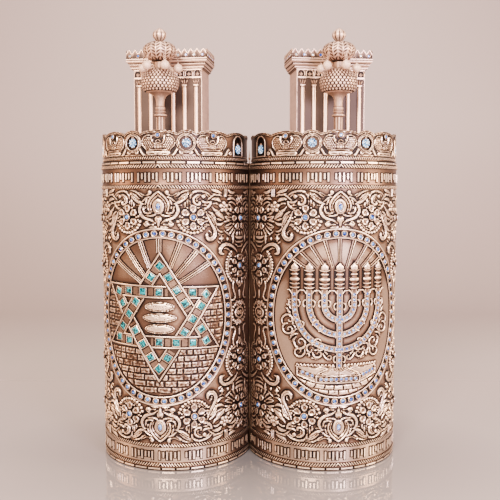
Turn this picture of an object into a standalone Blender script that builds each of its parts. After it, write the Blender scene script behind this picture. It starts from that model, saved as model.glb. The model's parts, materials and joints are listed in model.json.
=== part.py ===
"""Open Torah case (tik): two embossed copper half cylinders joined by a full-height hinge.

Each half carries a pierced crown band, a columned half tower and a finial with six bells.
Lengths below are in millimetres and become metres where a mesh is made.

Two layouts are used. A half's plan has q across, positive towards the hinge, and p forward
from the plane where the halves meet. Its carved face is laid out flat, with u along the curve
from the medallion's centre line, positive towards the hinge, and z up from the floor.
"""

import math

import bmesh
import bpy
from mathutils import Vector
from mathutils.geometry import delaunay_2d_cdt

MM = 0.001

# The case
RADIUS = 140.0
BODY_HEIGHT = 549.0
WALL = 7.0
PLATE = 8.0
HALF_TURN = math.radians(7.8366)
SETBACK = 0.2
HINGE_CLEAR = 3.5
GAP = 0.3
MID = BODY_HEIGHT / 2
FACET = math.radians(14)
MARGIN = math.radians(84)
MERGE = 0.12
SPREAD = 34.0
CLEARANCE = 9.0

# Bands of the carved face
ROPE_WIDTH = 5.5
ROPE_RISE = 2.0
ROPES = (10.0, 45.5, 503.5, 539.0)
SCRIPT_ROWS = (27.75, 521.25)
SCRIPT_HEIGHT = 15.0
SCRIPT_PITCH = 46.0
SCRIPT_RISE = 0.9

# Medallion
GEM_RING = (130.0, 148.4)
RING_HALF_WIDTH = 10.0
RING_RISE = 2.4
RING_SIDES = 26
STAR_TIPS = ((0.0, 114.4), (-109.6, -56.0), (109.6, -56.0))
STAR_BAND = 21.0
STAR_RISE = 2.2
ARM_STEP = 26.0
ARM_CENTRE = 22.0
ARM_WIDTH = 10.0
LAMP_FOOT = 50.0
LAMP_TOP = 85.5
FLAME_TIP = 97.6
STEM_FOOT = -86.0

# Crown band
CROWN_OUTER = 137.5
CROWN_INNER = 134.5
CROWN_TOP = 602.0
CROWN_NOTCH = 595.5
CROWN_END = math.radians(86)
ARCH_ENDS = (14.0, 27.5, 54.6, 77.5)
CROWN_PITCH = math.radians(40.4)
WINDOW_ANGLE = math.radians(20.3)
WINDOW_RADIUS = 11.7
WINDOW_Z = 579.5
NICHE_ANGLE = math.radians(66.5)
NICHE_HALF = 11.0
NICHE_FOOT = 562.0
NICHE_SPRING = 582.0
NICHE_DROP_Z = 572.0

# Tower
TOWER_HALF = 63.0
TOWER_DEPTH = 66.0
TOWER_WALL = 3.0
COLUMNS = 6
SHAFT_TOP = 686.0
CAPITAL_TOP = 699.0
CORNICE = ((716.0, 4.0), (722.0, 7.5), (728.0, 11.0))
CORNICE_TOP = 733.7
GABLE_FOOT = 742.5
GABLE_TIP = 750.5
GABLE_PITCH = 11.5

# Finial and bells
FINIAL_REACH = 120.0
FINIAL_SIDES = 10
FINIAL_FOOT = BODY_HEIGHT + GAP
FINIAL_PROFILE = (
    (7.9, FINIAL_FOOT), (7.9, 625.0), (11.5, 628.0), (8.4, 631.5), (9.2, 636.5), (7.6, 643.0),
    (8.0, 653.0), (13.0, 662.4), (26.5, 669.8), (32.0, 684.0), (26.0, 699.0), (10.0, 708.0),
    (10.0, 720.0), (22.0, 727.0), (29.5, 738.0), (26.0, 749.0), (6.5, 757.0), (12.0, 765.0),
    (8.5, 773.0), (1.5, 777.0),
)
BELL_RING = 31.9
BELL_ANGLES = {-1: (-97, -28, 30, 112, 163, 213), 1: (-90, -8, 52, 121, 170, 220)}
BELL_SIDES = 6
BELL_TOP = 722.0
BELL_LEAN = 0.52
BELL_PROFILE = ((2.5, 701.4), (8.3, 707.6), (7.3, 714.4), (1.3, 718.2), (1.3, BELL_TOP), (1.3, 731.5))

# Hinge and clasp
BARREL_RADIUS = 2.2
BARREL_BORE = 1.25
BARREL_SIDES = 6
KNUCKLES = 5
KNUCKLE_GAP = 0.4
PIN_PROFILE = ((0.9, 0.8), (0.9, 555.5), (2.2, 558.0), (1.1, 563.0), (0.4, 574.0))
CLASP_Z = 104.0
CLASP_TALL = 9.0
CLASP_OUTLINE = ((0.3, 3.0), (0.3, 11.0), (3.2, 11.0), (3.2, -8.0), (1.2, -8.0), (1.2, 3.0))
KEEPER_OUTLINE = ((0.3, 9.5), (0.3, 13.5), (1.9, 13.5), (1.9, 9.5))

COPPER = ("copper", (0.60, 0.42, 0.33), 0.42, 1.0)
PALE_COPPER = ("pale_copper", (0.78, 0.62, 0.53), 0.45, 1.0)
DARK_BRASS = ("dark_metal", (0.16, 0.12, 0.10), 0.5, 1.0)
BELL_COPPER = ("bell_copper", (0.86, 0.72, 0.62), 0.4, 1.0)
BLUE_CRYSTAL = ("blue_crystal", (0.55, 0.72, 0.90), 0.1, 0.0)


class Half:
    """One half of the case: its side, -1 left or 1 right, and the empty on the hinge line."""

    def __init__(self, name, side, root):
        self.name = name
        self.side = side
        self.pivot = bpy.data.objects.new(f"{name}_half_pivot", None)
        bpy.context.collection.objects.link(self.pivot)
        self.pivot.parent = root
        self.pivot.rotation_euler.z = side * HALF_TURN

    def point(self, q, p, z):
        return Vector((self.side * (RADIUS - q), -p, z)) * MM

    def on_curve(self, u, z, radius, unroll_radius=RADIUS):
        angle = u / unroll_radius
        return self.point(radius * math.sin(angle), radius * math.cos(angle), z)


# Meshes and objects

def material(finish):
    name, colour, roughness, metallic = finish
    found = bpy.data.materials.get(name)
    if found:
        return found
    made = bpy.data.materials.new(name)
    made.use_nodes = True
    shader = made.node_tree.nodes["Principled BSDF"]
    shader.inputs["Base Color"].default_value = (*colour, 1.0)
    shader.inputs["Roughness"].default_value = roughness
    shader.inputs["Metallic"].default_value = metallic
    return made


def add_solid(name, half, points, faces, finish, smooth=True):
    """One closed mesh as a named object under its half, with its faces turned outwards."""
    mesh = bpy.data.meshes.new(name)
    mesh.from_pydata(points, [], faces)
    shape = bmesh.new()
    shape.from_mesh(mesh)
    bmesh.ops.recalc_face_normals(shape, faces=shape.faces)
    shape.to_mesh(mesh)
    shape.free()
    mesh.materials.append(material(finish))
    if smooth:
        mesh.shade_smooth()
        mesh.set_sharp_from_angle(angle=math.radians(35))
    made = bpy.data.objects.new(name, mesh)
    bpy.context.collection.objects.link(made)
    made.parent = half.pivot
    return made


def turned(profile, sides, place):
    """A solid turned from (radius, height) pairs, with both ends capped flat."""
    points, faces = [], []
    for radius, z in profile:
        for step in range(sides):
            angle = math.tau * step / sides
            points.append(place(radius * math.cos(angle), radius * math.sin(angle), z))
    for ring in range(len(profile) - 1):
        for step in range(sides):
            other = (step + 1) % sides
            low, high = ring * sides, (ring + 1) * sides
            faces.append((low + step, low + other, high + other, high + step))
    faces.append(tuple(range(sides)))
    faces.append(tuple(range(len(points) - sides, len(points))))
    return points, faces


def prism(outline, low, high, place):
    """A closed outline of pairs, carried straight up from low to high."""
    count = len(outline)
    points = [place(*pair, z) for z in (low, high) for pair in outline]
    faces = [(i, (i + 1) % count, count + (i + 1) % count, count + i) for i in range(count)]
    return points, faces + [tuple(range(count)), tuple(range(count, 2 * count))]


# Raised forms on an unrolled face

def inside(point, outline):
    x, y = point
    odd = False
    for (x0, y0), (x1, y1) in zip(outline, outline[1:] + outline[:1]):
        if (y0 > y) != (y1 > y) and x < x0 + (y - y0) * (x1 - x0) / (y1 - y0):
            odd = not odd
    return odd


def edge_distance(point, outline):
    x, y = point
    nearest = math.inf
    for (x0, y0), (x1, y1) in zip(outline, outline[1:] + outline[:1]):
        run, rise = x1 - x0, y1 - y0
        along = ((x - x0) * run + (y - y0) * rise) / max(run * run + rise * rise, 1e-9)
        along = min(max(along, 0.0), 1.0)
        nearest = min(nearest, math.hypot(x - x0 - along * run, y - y0 - along * rise))
    return nearest


class Form:
    """Raised outlines, with creases inside them, that slope up to the form's rise."""

    def __init__(self, outlines, creases, rise, slope):
        self.outlines = outlines
        self.creases = creases
        self.rise = rise
        self.slope = slope
        corners = [point for outline in outlines for point in outline]
        self.low = [min(axis) for axis in zip(*corners)]
        self.high = [max(axis) for axis in zip(*corners)]

    def height(self, point):
        if any(point[i] < self.low[i] or point[i] > self.high[i] for i in (0, 1)):
            return 0.0
        if sum(inside(point, outline) for outline in self.outlines) % 2 == 0:
            return 0.0
        reach = min(edge_distance(point, outline) for outline in self.outlines)
        return self.rise * min(reach / self.slope, 1.0)

    def mirrored(self, across, upright):
        """The same form mirrored in the centre line and in mid height, where asked."""
        def turn(points):
            return [(across * u, MID + upright * (z - MID)) for u, z in points]
        creases = [(turn(points), closed) for points, closed in self.creases]
        return Form([turn(outline) for outline in self.outlines], creases, self.rise, self.slope)


def ellipse(centre, radii, count, start=0.0):
    return [(centre[0] + radii[0] * math.cos(start + math.tau * i / count),
             centre[1] + radii[1] * math.sin(start + math.tau * i / count)) for i in range(count)]


def arc(centre, radius, first, last, count):
    """Points along an arc, its angles in degrees."""
    angles = [math.radians(first + (last - first) * i / (count - 1)) for i in range(count)]
    return [(centre[0] + radius * math.cos(a), centre[1] + radius * math.sin(a)) for a in angles]


def boss(centre, radii, count, rise, start=0.0):
    """A low pyramid on a round or pointed foot."""
    slope = 0.9 * min(radii)
    return Form([ellipse(centre, radii, count, start)], [([centre], False)], rise, slope)


def plateau(outline, centre, rise, shrink):
    """A raised panel, its top edge drawn in towards the centre by the factor shrink."""
    top = [(centre[0] + (u - centre[0]) * shrink, centre[1] + (z - centre[1]) * shrink)
           for u, z in outline]
    slope = 0.98 * min(edge_distance(point, outline) for point in top)
    return Form([outline], [(top, True)], rise, slope)


def sides_of(path, half_widths):
    """The points half a width to the left and to the right of each point of a path."""
    left, right = [], []
    for i, (u, z) in enumerate(path):
        before, after = path[max(i - 1, 0)], path[min(i + 1, len(path) - 1)]
        run, climb = after[0] - before[0], after[1] - before[1]
        share = half_widths[i] / math.hypot(run, climb)
        left.append((u - climb * share, z + run * share))
        right.append((u + climb * share, z - run * share))
    return left, right


def bar(path, half_width, rise):
    """A stroke of one width with square ends."""
    left, right = sides_of(path, [half_width] * len(path))
    crease = path if len(path) < 4 else path[1:-1]
    return Form([left + right[::-1]], [(crease, False)], rise, 0.85 * half_width)


def leaf(path, half_width, rise):
    """A stroke that swells from one point to its widest in the middle and ends in another."""
    last = len(path) - 1
    swell = [half_width * math.sin(math.pi * i / last) ** 0.5 for i in range(last + 1)]
    left, right = sides_of(path, swell)
    outline = [path[0]] + left[1:-1] + [path[-1]] + right[-2:0:-1]
    return Form([outline], [(path[1:-1], False)], rise, 0.85 * half_width)


def rosette(centre, inner, outer, petals, rise, start=0.0):
    """A flower: a lobed outline that rises to its heart."""
    outline = []
    for i in range(2 * petals):
        radius = outer if i % 2 == 0 else inner
        angle = start + math.pi * i / petals
        outline.append((centre[0] + radius * math.cos(angle), centre[1] + radius * math.sin(angle)))
    return Form([outline], [([centre], False)], rise, inner * 0.8)


def teardrop(foot, tip, half_width, count):
    """An onion outline from its round foot to its pointed tip."""
    centre, half = (foot + tip) / 2, (tip - foot) / 2
    points = []
    for i in range(count):
        turn = math.tau * i / count
        points.append((half_width * 1.25 * math.sin(turn) * math.sin(turn / 2) ** 0.8,
                       centre + half * math.cos(turn)))
    return points


def belt(z):
    """One rope round the half, from margin to margin."""
    end = RADIUS * MARGIN
    steps = round(2 * MARGIN / FACET)
    run = [-end + 2 * end * i / steps for i in range(steps + 1)]
    low = [(u, z - ROPE_WIDTH / 2) for u in run]
    high = [(u, z + ROPE_WIDTH / 2) for u in run]
    return Form([low + high[::-1]], [([(u, z) for u in run[1:-1]], False)],
                ROPE_RISE, ROPE_WIDTH / 2)


def script_row(z):
    """Plain upright strokes in place of an inscription, alternately tall and short."""
    strokes = []
    count = int(RADIUS * math.radians(74) / SCRIPT_PITCH)
    for i in range(-count, count + 1):
        half = SCRIPT_HEIGHT / 2 * (1.0 if i % 2 else 0.7)
        u = i * SCRIPT_PITCH
        strokes.append(bar([(u, z - half), (u, z + half)], 3.2, SCRIPT_RISE))
    return strokes


def corner_ornament():
    """The leaves, scrolls and flowers of one quarter of the face, towards the hinge and up."""
    near, far, side = (60.5, 451.0), (163.0, 448.0), (160.0, 361.0)
    return [
        # scroll beside the drop-shaped cartouche and the stem above it
        leaf([(32.5, 470.0), (34.5, 459.0), (22.0, 447.5), (7.0, 441.5)], 3.6, 2.4),
        leaf([(13.0, 497.0), (20.0, 489.5), (33.0, 492.5), (56.0, 496.5)], 2.6, 2.0),
        # fluted leaf that sweeps to the top rope
        leaf([(26.0, 474.5), (38.0, 479.0), (48.0, 486.5), (55.0, 489.5)], 4.6, 2.4),
        # two nested hooks above the near flower
        leaf([(55.0, 483.0), (59.0, 492.0), (74.0, 496.5), (94.0, 488.0)], 2.8, 2.2),
        leaf(arc((68.5, 480.5), 7.8, 55, 335, 4), 3.0, 2.4),
        leaf([(76.0, 480.0), (92.5, 473.5), (79.5, 461.0)], 4.2, 2.0),
        rosette(near, 8.5, 18.5, 6, 2.4, math.radians(30)),
        leaf(arc(near, 27.5, 190, 330, 5), 3.2, 2.2),
        # long hook beside the oval
        leaf([(85.5, 459.0), (94.0, 438.5), (101.5, 422.0), (94.0, 412.5), (84.5, 420.5)], 4.4, 2.8),
        # small flower, leaves and lozenge between the near and the far flower
        boss((121.0, 468.0), (9.5, 9.5), 5, 2.2),
        leaf([(99.0, 463.0), (111.0, 454.0), (121.0, 447.0)], 5.2, 2.2),
        leaf([(98.0, 443.5), (109.0, 437.0), (121.0, 441.5)], 3.4, 2.0),
        leaf([(129.0, 480.0), (143.0, 490.0), (157.0, 487.0), (153.0, 476.0)], 3.0, 1.8),
        boss((115.5, 412.0), (6.0, 7.0), 4, 2.2),
        rosette(far, 8.0, 19.0, 6, 2.4),
        # hook and side flower with its ring of beads
        leaf([(157.0, 388.0), (137.0, 401.0), (117.0, 402.0), (111.5, 391.0), (121.0, 384.5)], 3.4, 2.4),
        rosette(side, 7.5, 17.0, 6, 2.4, math.radians(30)),
        leaf(arc(side, 33.5, 118, 242, 4), 3.2, 2.2),
        # thin double curve beside the oval, and curls towards the edge
        leaf([(149.5, 338.0), (144.5, 325.0), (151.5, 309.0), (143.5, 298.5)], 2.6, 1.8),
        leaf(arc((188.0, 478.0), 9.5, 200, 20, 3), 2.8, 1.6),
        leaf(arc((188.0, 405.0), 11.0, 90, 290, 3), 3.0, 1.6),
    ]


def centre_ornament():
    """The drop-shaped cartouche with its stone and bud, above the oval."""
    tip, stone = 495.5, (0.0, 469.0)
    setting = Form([ellipse(stone, (8.8, 11.5), 6)], [(ellipse(stone, (5.5, 8.0), 6), True)], 3.4, 2.6)
    return [
        plateau(teardrop(455.5, tip, 17.5, 10), (0.0, 472.0), 1.6, 0.84),
        setting,
        leaf([(0.0, 453.0), (0.0, 446.5), (0.0, 434.5)], 6.0, 2.4),
    ]


def shell_flower():
    return [rosette((157.0, MID), 5.5, 11.0, 6, 1.8)]


def oval_frame():
    """The oval ring that holds the gems."""
    wide = [radius + RING_HALF_WIDTH * 0.93 for radius in GEM_RING]
    narrow = [radius - RING_HALF_WIDTH for radius in GEM_RING]
    lip = 2.2
    rings = [ellipse((0.0, MID), radii, RING_SIDES, math.pi / 2) for radii in
             (wide, [r - lip for r in wide], [r + lip for r in narrow], narrow)]
    return [Form([rings[0], rings[3]], [(rings[1], True), (rings[2], True)], RING_RISE, lip * 0.97)]


def star_figure():
    """Two crossed triangular bands that make the six-pointed star."""
    forms = []
    lip = 2.4
    tall = STAR_TIPS[0][1] - STAR_TIPS[1][1]
    wide = STAR_TIPS[2][0] - STAR_TIPS[1][0]
    inner = wide * tall / (wide + 2 * math.hypot(wide / 2, tall))
    heart = STAR_TIPS[1][1] + inner
    for turn in (1, -1):
        rings = []
        for inset in (0.0, lip, STAR_BAND - lip, STAR_BAND):
            share = 1 - inset / inner
            rings.append([(u * share, MID + turn * (heart + (z - heart) * share))
                          for u, z in STAR_TIPS])
        forms.append(Form([rings[0], rings[3]], [(rings[1], True), (rings[2], True)],
                          STAR_RISE, lip * 0.97))
    for centre in ((-14.0, -6.0), (0.0, 12.0), (14.0, -6.0)):
        forms.append(boss((centre[0], MID + centre[1]), (5.0, 11.0), 6, 1.4, math.pi / 6))
    return forms


def lamp_figure():
    """The seven-branched lampstand: arms, stem, cups, flames and stepped foot."""
    hub = MID + ARM_CENTRE
    forms = [bar([(0.0, MID + STEM_FOOT), (0.0, MID + LAMP_FOOT)], ARM_WIDTH / 2, 2.4)]
    for ring in (1, 2, 3):
        radius = ARM_STEP * ring
        bend = arc((0.0, hub), radius, 180, 360, 5 + 2 * ring)
        path = [(-radius, MID + LAMP_FOOT)] + bend + [(radius, MID + LAMP_FOOT)]
        forms.append(bar(path, ARM_WIDTH / 2, 2.4))
    for lamp in range(-3, 4):
        u, foot, top = lamp * ARM_STEP, MID + LAMP_FOOT + 1.0, MID + LAMP_TOP
        cup = [(u - 8.5, foot), (u + 8.5, foot), (u + 9.5, top), (u - 9.5, top)]
        forms.append(plateau(cup, (u, (foot + top) / 2), 2.6, 0.72))
        forms.append(boss((u, (top + MID + FLAME_TIP) / 2 + 1.0), (4.6, 5.6), 4, 2.2, math.pi / 2))
    foot = [(-75.0, MID - 84.0), (-58.0, MID - 80.7), (58.0, MID - 80.7), (75.0, MID - 84.0),
            (75.0, MID - 103.0), (38.0, MID - 115.0), (-38.0, MID - 115.0), (-75.0, MID - 103.0)]
    forms.append(plateau(foot, (0.0, MID - 98.0), 2.2, 0.88))
    return forms


# The carved faces as triangles

def triangulate(border, forms, pitch, clearance):
    """Triangles over the border and every form, with plain points spread between the forms."""
    points, edges = [], []

    def chain(run, closed):
        first = len(points)
        points.extend(run)
        edges.extend((first + i, first + i + 1) for i in range(len(run) - 1))
        if closed:
            edges.append((len(points) - 1, first))

    chain(border, True)
    for form in forms:
        for outline in form.outlines:
            chain(outline, True)
        for crease, closed in form.creases:
            chain(crease, closed)
    drawn = [(points[a], points[b]) for a, b in edges]
    low = [min(axis) for axis in zip(*border)]
    high = [max(axis) for axis in zip(*border)]
    rows = int((high[1] - low[1]) / (pitch * 0.87))
    for row in range(1, rows):
        z = low[1] + (high[1] - low[1]) * row / rows
        count = int((high[0] - low[0]) / pitch)
        for i in range(1, count):
            u = low[0] + (high[0] - low[0]) * (i + 0.5 * (row % 2)) / count
            if all(segment_distance((u, z), a, b) > clearance for a, b in drawn):
                points.append((u, z))
    found = delaunay_2d_cdt([Vector(p) for p in points], edges, [], 0, MERGE)
    return [tuple(v) for v in found[0]], [tuple(face) for face in found[2]]


def segment_distance(point, start, end):
    return edge_distance(point, [start, end])


def relief_height(point, forms):
    return max((form.height(point) for form in forms), default=0.0)


def spaced(start, end, step):
    count = max(round(abs(end - start) / step), 1)
    return [start + (end - start) * i / count for i in range(count + 1)]


def case_half(half, forms):
    """A half cylinder with floor and roof, hollow and open where the halves meet."""
    free = -RADIUS * math.acos(SETBACK / RADIUS)
    hinge = RADIUS * math.acos(HINGE_CLEAR / RADIUS)
    levels = spaced(0.0, BODY_HEIGHT, 50.0)
    across = spaced(free, hinge, RADIUS * FACET)
    border = [(u, 0.0) for u in across[:-1]] + [(hinge, z) for z in levels[:-1]]
    border += [(u, BODY_HEIGHT) for u in across[:0:-1]] + [(free, z) for z in levels[:0:-1]]
    flat, faces = triangulate(border, forms, SPREAD, CLEARANCE)
    points = [half.on_curve(u, z, RADIUS + relief_height((u, z), forms)) for u, z in flat]

    def row(keep, order):
        found = [i for i, pair in enumerate(flat) if abs(keep(pair)) < 0.01]
        return sorted(found, key=lambda i: flat[i][order])

    def add(q, p, z):
        points.append(half.point(q, p, z))
        return len(points) - 1

    free_edge = row(lambda pair: pair[0] - free, 1)
    hinge_edge = row(lambda pair: pair[0] - hinge, 1)
    floor_edge = row(lambda pair: pair[1], 0)
    roof_edge = row(lambda pair: pair[1] - BODY_HEIGHT, 0)
    # bevelled pocket for the hinge barrel
    pocket = [add(RADIUS - HINGE_CLEAR, SETBACK, flat[i][1]) for i in hinge_edge]
    for i in range(len(pocket) - 1):
        faces.append((hinge_edge[i], pocket[i], pocket[i + 1], hinge_edge[i + 1]))
    faces.append(tuple(floor_edge) + (pocket[0],))
    faces.append(tuple(roof_edge) + (pocket[-1],))
    # cavity
    inner = RADIUS - WALL
    reach = math.acos(SETBACK / inner)
    angles = spaced(-reach, reach, FACET)
    low, high = ([add(inner * math.sin(a), inner * math.cos(a), z) for a in angles]
                 for z in (PLATE, BODY_HEIGHT - PLATE))
    for i in range(len(angles) - 1):
        faces.append((low[i], low[i + 1], high[i + 1], high[i]))
    faces.append(tuple(low))
    faces.append(tuple(high))
    # flat rim where the halves meet
    loop = free_edge + pocket[::-1]
    mouth = [low[0], low[-1], high[-1], high[0]]
    across_q = [-RADIUS] * len(free_edge) + [RADIUS - HINGE_CLEAR] * len(pocket)
    rim = [(q, points[i].z / MM) for q, i in zip(across_q, loop)]
    rim += [(-inner, PLATE), (inner, PLATE), (inner, BODY_HEIGHT - PLATE), (-inner, BODY_HEIGHT - PLATE)]
    count = len(loop)
    ring = [(i, (i + 1) % count) for i in range(count)]
    ring += [(count + i, count + (i + 1) % 4) for i in range(4)]
    plate = delaunay_2d_cdt([Vector(pair) for pair in rim], ring, [], 0, 1e-4)
    owner = loop + mouth
    names = [owner[origins[0]] for origins in plate[3]]
    for face in plate[2]:
        middle = [sum(plate[0][i][axis] for i in face) / 3 for axis in (0, 1)]
        if abs(middle[0]) > inner or not PLATE < middle[1] < BODY_HEIGHT - PLATE:
            faces.append(tuple(names[i] for i in face))
    return add_solid(f"case_{half.name}", half, points, faces, COPPER)


def pierced_wall(border, holes, forms, place, thickness, pitch, clearance):
    """A thin wall cut to the border, with holes, carved in front and plain behind."""
    outlines = [Form([hole], [], 0.0, 1.0) for hole in holes]
    flat, faces = triangulate(border, forms + outlines, pitch, clearance)
    kept = []
    for face in faces:
        middle = tuple(sum(flat[i][axis] for i in face) / 3 for axis in (0, 1))
        if inside(middle, border) and not any(inside(middle, hole) for hole in holes):
            kept.append(face)
    used = sorted({i for face in kept for i in face})
    front = {i: place(*flat[i], relief_height(flat[i], forms)) for i in used}
    sides = {}
    for face in kept:
        for a, b in zip(face, face[1:] + face[:1]):
            sides[(a, b)] = True
    rim = [edge for edge in sides if (edge[1], edge[0]) not in sides]
    rim_points = sorted({i for edge in rim for i in edge})
    # the back needs only the rim's points and a few plain ones
    points = [front[i] for i in used]
    number = {i: n for n, i in enumerate(used)}
    back_pairs = [flat[i] for i in rim_points]
    back_index = {i: n for n, i in enumerate(rim_points)}
    back_edges = [(back_index[a], back_index[b]) for a, b in rim]
    low, high = min(p[0] for p in border), max(p[0] for p in border)
    middle_z = (min(p[1] for p in border) + max(p[1] for p in border)) / 2
    for u in spaced(low, high, pitch)[1:-1]:
        clear = all(segment_distance((u, middle_z), back_pairs[a], back_pairs[b]) > 2.0
                    for a, b in back_edges)
        if clear and inside((u, middle_z), border):
            back_pairs.append((u, middle_z))
    back = delaunay_2d_cdt([Vector(pair) for pair in back_pairs], back_edges, [], 0, 1e-4)
    start = len(points)
    points.extend(place(*tuple(pair), -thickness) for pair in back[0])
    where = {origin: start + n for n, origins in enumerate(back[3]) for origin in origins}
    result = [tuple(number[i] for i in face) for face in kept]
    for face in back[2]:
        middle = tuple(sum(back[0][i][axis] for i in face) / 3 for axis in (0, 1))
        if inside(middle, border) and not any(inside(middle, hole) for hole in holes):
            result.append(tuple(start + i for i in reversed(face)))
    for a, b in rim:
        result.append((number[b], number[a], where[back_index[a]], where[back_index[b]]))
    return points, result


def crown_band(half):
    """The scalloped band of crowns and windows above the roof's edge."""
    end, foot = CROWN_OUTER * CROWN_END, BODY_HEIGHT + GAP
    stops = [math.radians(a) * CROWN_OUTER for a in ARCH_ENDS]
    stops = [-end] + [-s for s in stops[::-1]] + stops + [end]
    top = []
    for left, right in zip(stops, stops[1:]):
        rise = CROWN_TOP - CROWN_NOTCH
        rise *= min((right - left) / 30.0, 1.0)
        steps = 3
        for i in range(steps):
            share = i / steps
            top.append((left + (right - left) * share,
                        CROWN_NOTCH + rise * math.sin(math.pi * share) ** 0.6))
    top.append((end, CROWN_NOTCH))
    bottom = [(u, foot) for u in spaced(-end, end, CROWN_OUTER * FACET)]
    border = bottom + top[::-1]
    window, niche = CROWN_OUTER * WINDOW_ANGLE, CROWN_OUTER * NICHE_ANGLE
    holes, forms = [], []
    for side in (-1, 1):
        centre = (side * window, WINDOW_Z)
        holes.append(ellipse(centre, (WINDOW_RADIUS, WINDOW_RADIUS), 8))
        frame = ellipse(centre, (WINDOW_RADIUS + 4.0, WINDOW_RADIUS + 4.0), 8)
        forms.append(Form([frame], [], 1.6, 2.0))
        opening = [(side * niche - NICHE_HALF, NICHE_FOOT), (side * niche + NICHE_HALF, NICHE_FOOT)]
        opening += arc((side * niche, NICHE_SPRING), NICHE_HALF, 0, 180, 5)
        holes.append(opening)
    for place in (-1, 0, 1):
        u = place * CROWN_OUTER * CROWN_PITCH
        crown = [(u - 22.0, 561.0), (u + 22.0, 561.0), (u + 30.0, 577.0), (u + 17.0, 590.0),
                 (u - 17.0, 590.0), (u - 30.0, 577.0)]
        forms.append(plateau(crown, (u, 576.0), 2.2, 0.72))
        forms.append(boss((u, 593.5), (4.0, 4.0), 4, 3.0))

    def place_on_band(u, z, height):
        return half.on_curve(u, z, CROWN_OUTER + height, CROWN_OUTER)

    points, faces = pierced_wall(border, holes, forms, place_on_band,
                                 CROWN_OUTER - CROWN_INNER, 24.0, 5.0)
    return add_solid(f"crown_band_{half.name}", half, points, faces, COPPER)


# Tower

def tower_place(half, outset, setback):
    """Maps a run along the three outer walls, a height and a relief to the tower's faces."""
    across, depth = TOWER_HALF + outset, TOWER_DEPTH + outset - setback

    def place(run, z, height):
        first, second = depth + 0.01, depth + 2 * across - 0.01
        q = -across + min(max(run - depth, 0.0), 2 * across)
        p = setback + min(run, depth) - max(run - depth - 2 * across, 0.0)
        q += height * ((run > second) - (run < first))
        p += height * (first - 0.02 < run < second + 0.02)
        return half.point(q, p, z)

    return place, across, depth


def tower_wall(half):
    """Three plain walls with half-round columns, capitals and a frieze on the front one."""
    place, across, depth = tower_place(half, 0.0, SETBACK + GAP)
    length = 2 * depth + 2 * across
    foot = BODY_HEIGHT + GAP
    corners = [0.0, depth, depth + 2 * across, length]
    top = CORNICE[0][0] + 2.0
    border = [(run, foot) for run in corners] + [(run, top) for run in corners[::-1]]
    folds = [Form([[(run, foot), (run, top)]], [], 0.0, 1.0) for run in corners[1:3]]
    forms = []
    pitch = 2 * across / COLUMNS
    for i in range(COLUMNS):
        u = depth + pitch * (i + 0.5)
        shaft = [(u - 4.2, foot + 1.0), (u + 4.2, foot + 1.0), (u + 4.2, SHAFT_TOP), (u - 4.2, SHAFT_TOP)]
        forms.append(Form([shaft], [([(u, foot + 3.5), (u, SHAFT_TOP - 2.5)], False)], 3.6, 4.1))
        head = [(u - 4.0, SHAFT_TOP + 1.0), (u + 4.0, SHAFT_TOP + 1.0),
                (u + 7.5, CAPITAL_TOP), (u - 7.5, CAPITAL_TOP)]
        forms.append(plateau(head, (u, (SHAFT_TOP + CAPITAL_TOP) / 2), 3.4, 0.6))
    frieze = [(depth + 4.0, 702.0), (depth + 2 * across - 4.0, 702.0),
              (depth + 2 * across - 4.0, 714.5), (depth + 4.0, 714.5)]
    forms.append(Form([frieze], [([(depth + 6.0, 708.0), (depth + 2 * across - 6.0, 708.0)], False)],
                      1.8, 6.0))
    points, faces = pierced_wall(border, [], forms + folds, place, TOWER_WALL, 400.0, 30.0)
    return add_solid(f"temple_{half.name}", half, points, faces, PALE_COPPER, smooth=False)


def tower_parapet(half):
    """The wall of small gables that crowns the cornice."""
    outset = CORNICE[-1][1] - GAP
    place, across, depth = tower_place(half, outset, SETBACK + GAP)
    length = 2 * depth + 2 * across
    corners = [0.0, depth, depth + 2 * across, length]
    foot = CORNICE_TOP - 1.0
    top = []
    for left, right in zip(corners, corners[1:]):
        count = round((right - left) / GABLE_PITCH)
        for i in range(count):
            step = (right - left) / count
            top += [(left + step * i, GABLE_FOOT), (left + step * (i + 0.5), GABLE_TIP)]
    top.append((length, GABLE_FOOT))
    border = [(run, foot) for run in corners] + top[::-1]
    folds = [Form([[(run, foot), (run, GABLE_FOOT)]], [], 0.0, 1.0) for run in corners[1:3]]
    points, faces = pierced_wall(border, [], folds, place, TOWER_WALL, 400.0, 30.0)
    return add_solid(f"parapet_{half.name}", half, points, faces, PALE_COPPER, smooth=False)


def tower(half):
    """Wall, stepped cornice with the roof, and parapet, joined into one piece."""
    body = tower_wall(half)
    tops = [low for low, outset in CORNICE[1:]] + [CORNICE_TOP]
    pieces = [tower_parapet(half)]
    for (low, outset), high in zip(CORNICE, tops):
        across, depth = TOWER_HALF + outset, TOWER_DEPTH + outset
        outline = [(-across, SETBACK), (across, SETBACK), (across, depth), (-across, depth)]
        points, faces = prism(outline, low, high + GAP, half.point)
        name = f"cornice_{half.name}_{round(low)}"
        pieces.append(add_solid(name, half, points, faces, PALE_COPPER, smooth=False))
    for piece in pieces:
        join = body.modifiers.new(piece.name, "BOOLEAN")
        join.operation = "UNION"
        join.object = piece
        piece.hide_render = True
        piece.display_type = "WIRE"
    return body


# Finial, bells, pendants, hinge and clasp

def finial(half):
    def place(across, forward, z):
        return half.point(across, FINIAL_REACH + forward, z)
    points, faces = turned(FINIAL_PROFILE, FINIAL_SIDES, place)
    return add_solid(f"finial_{half.name}", half, points, faces, PALE_COPPER)


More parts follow.
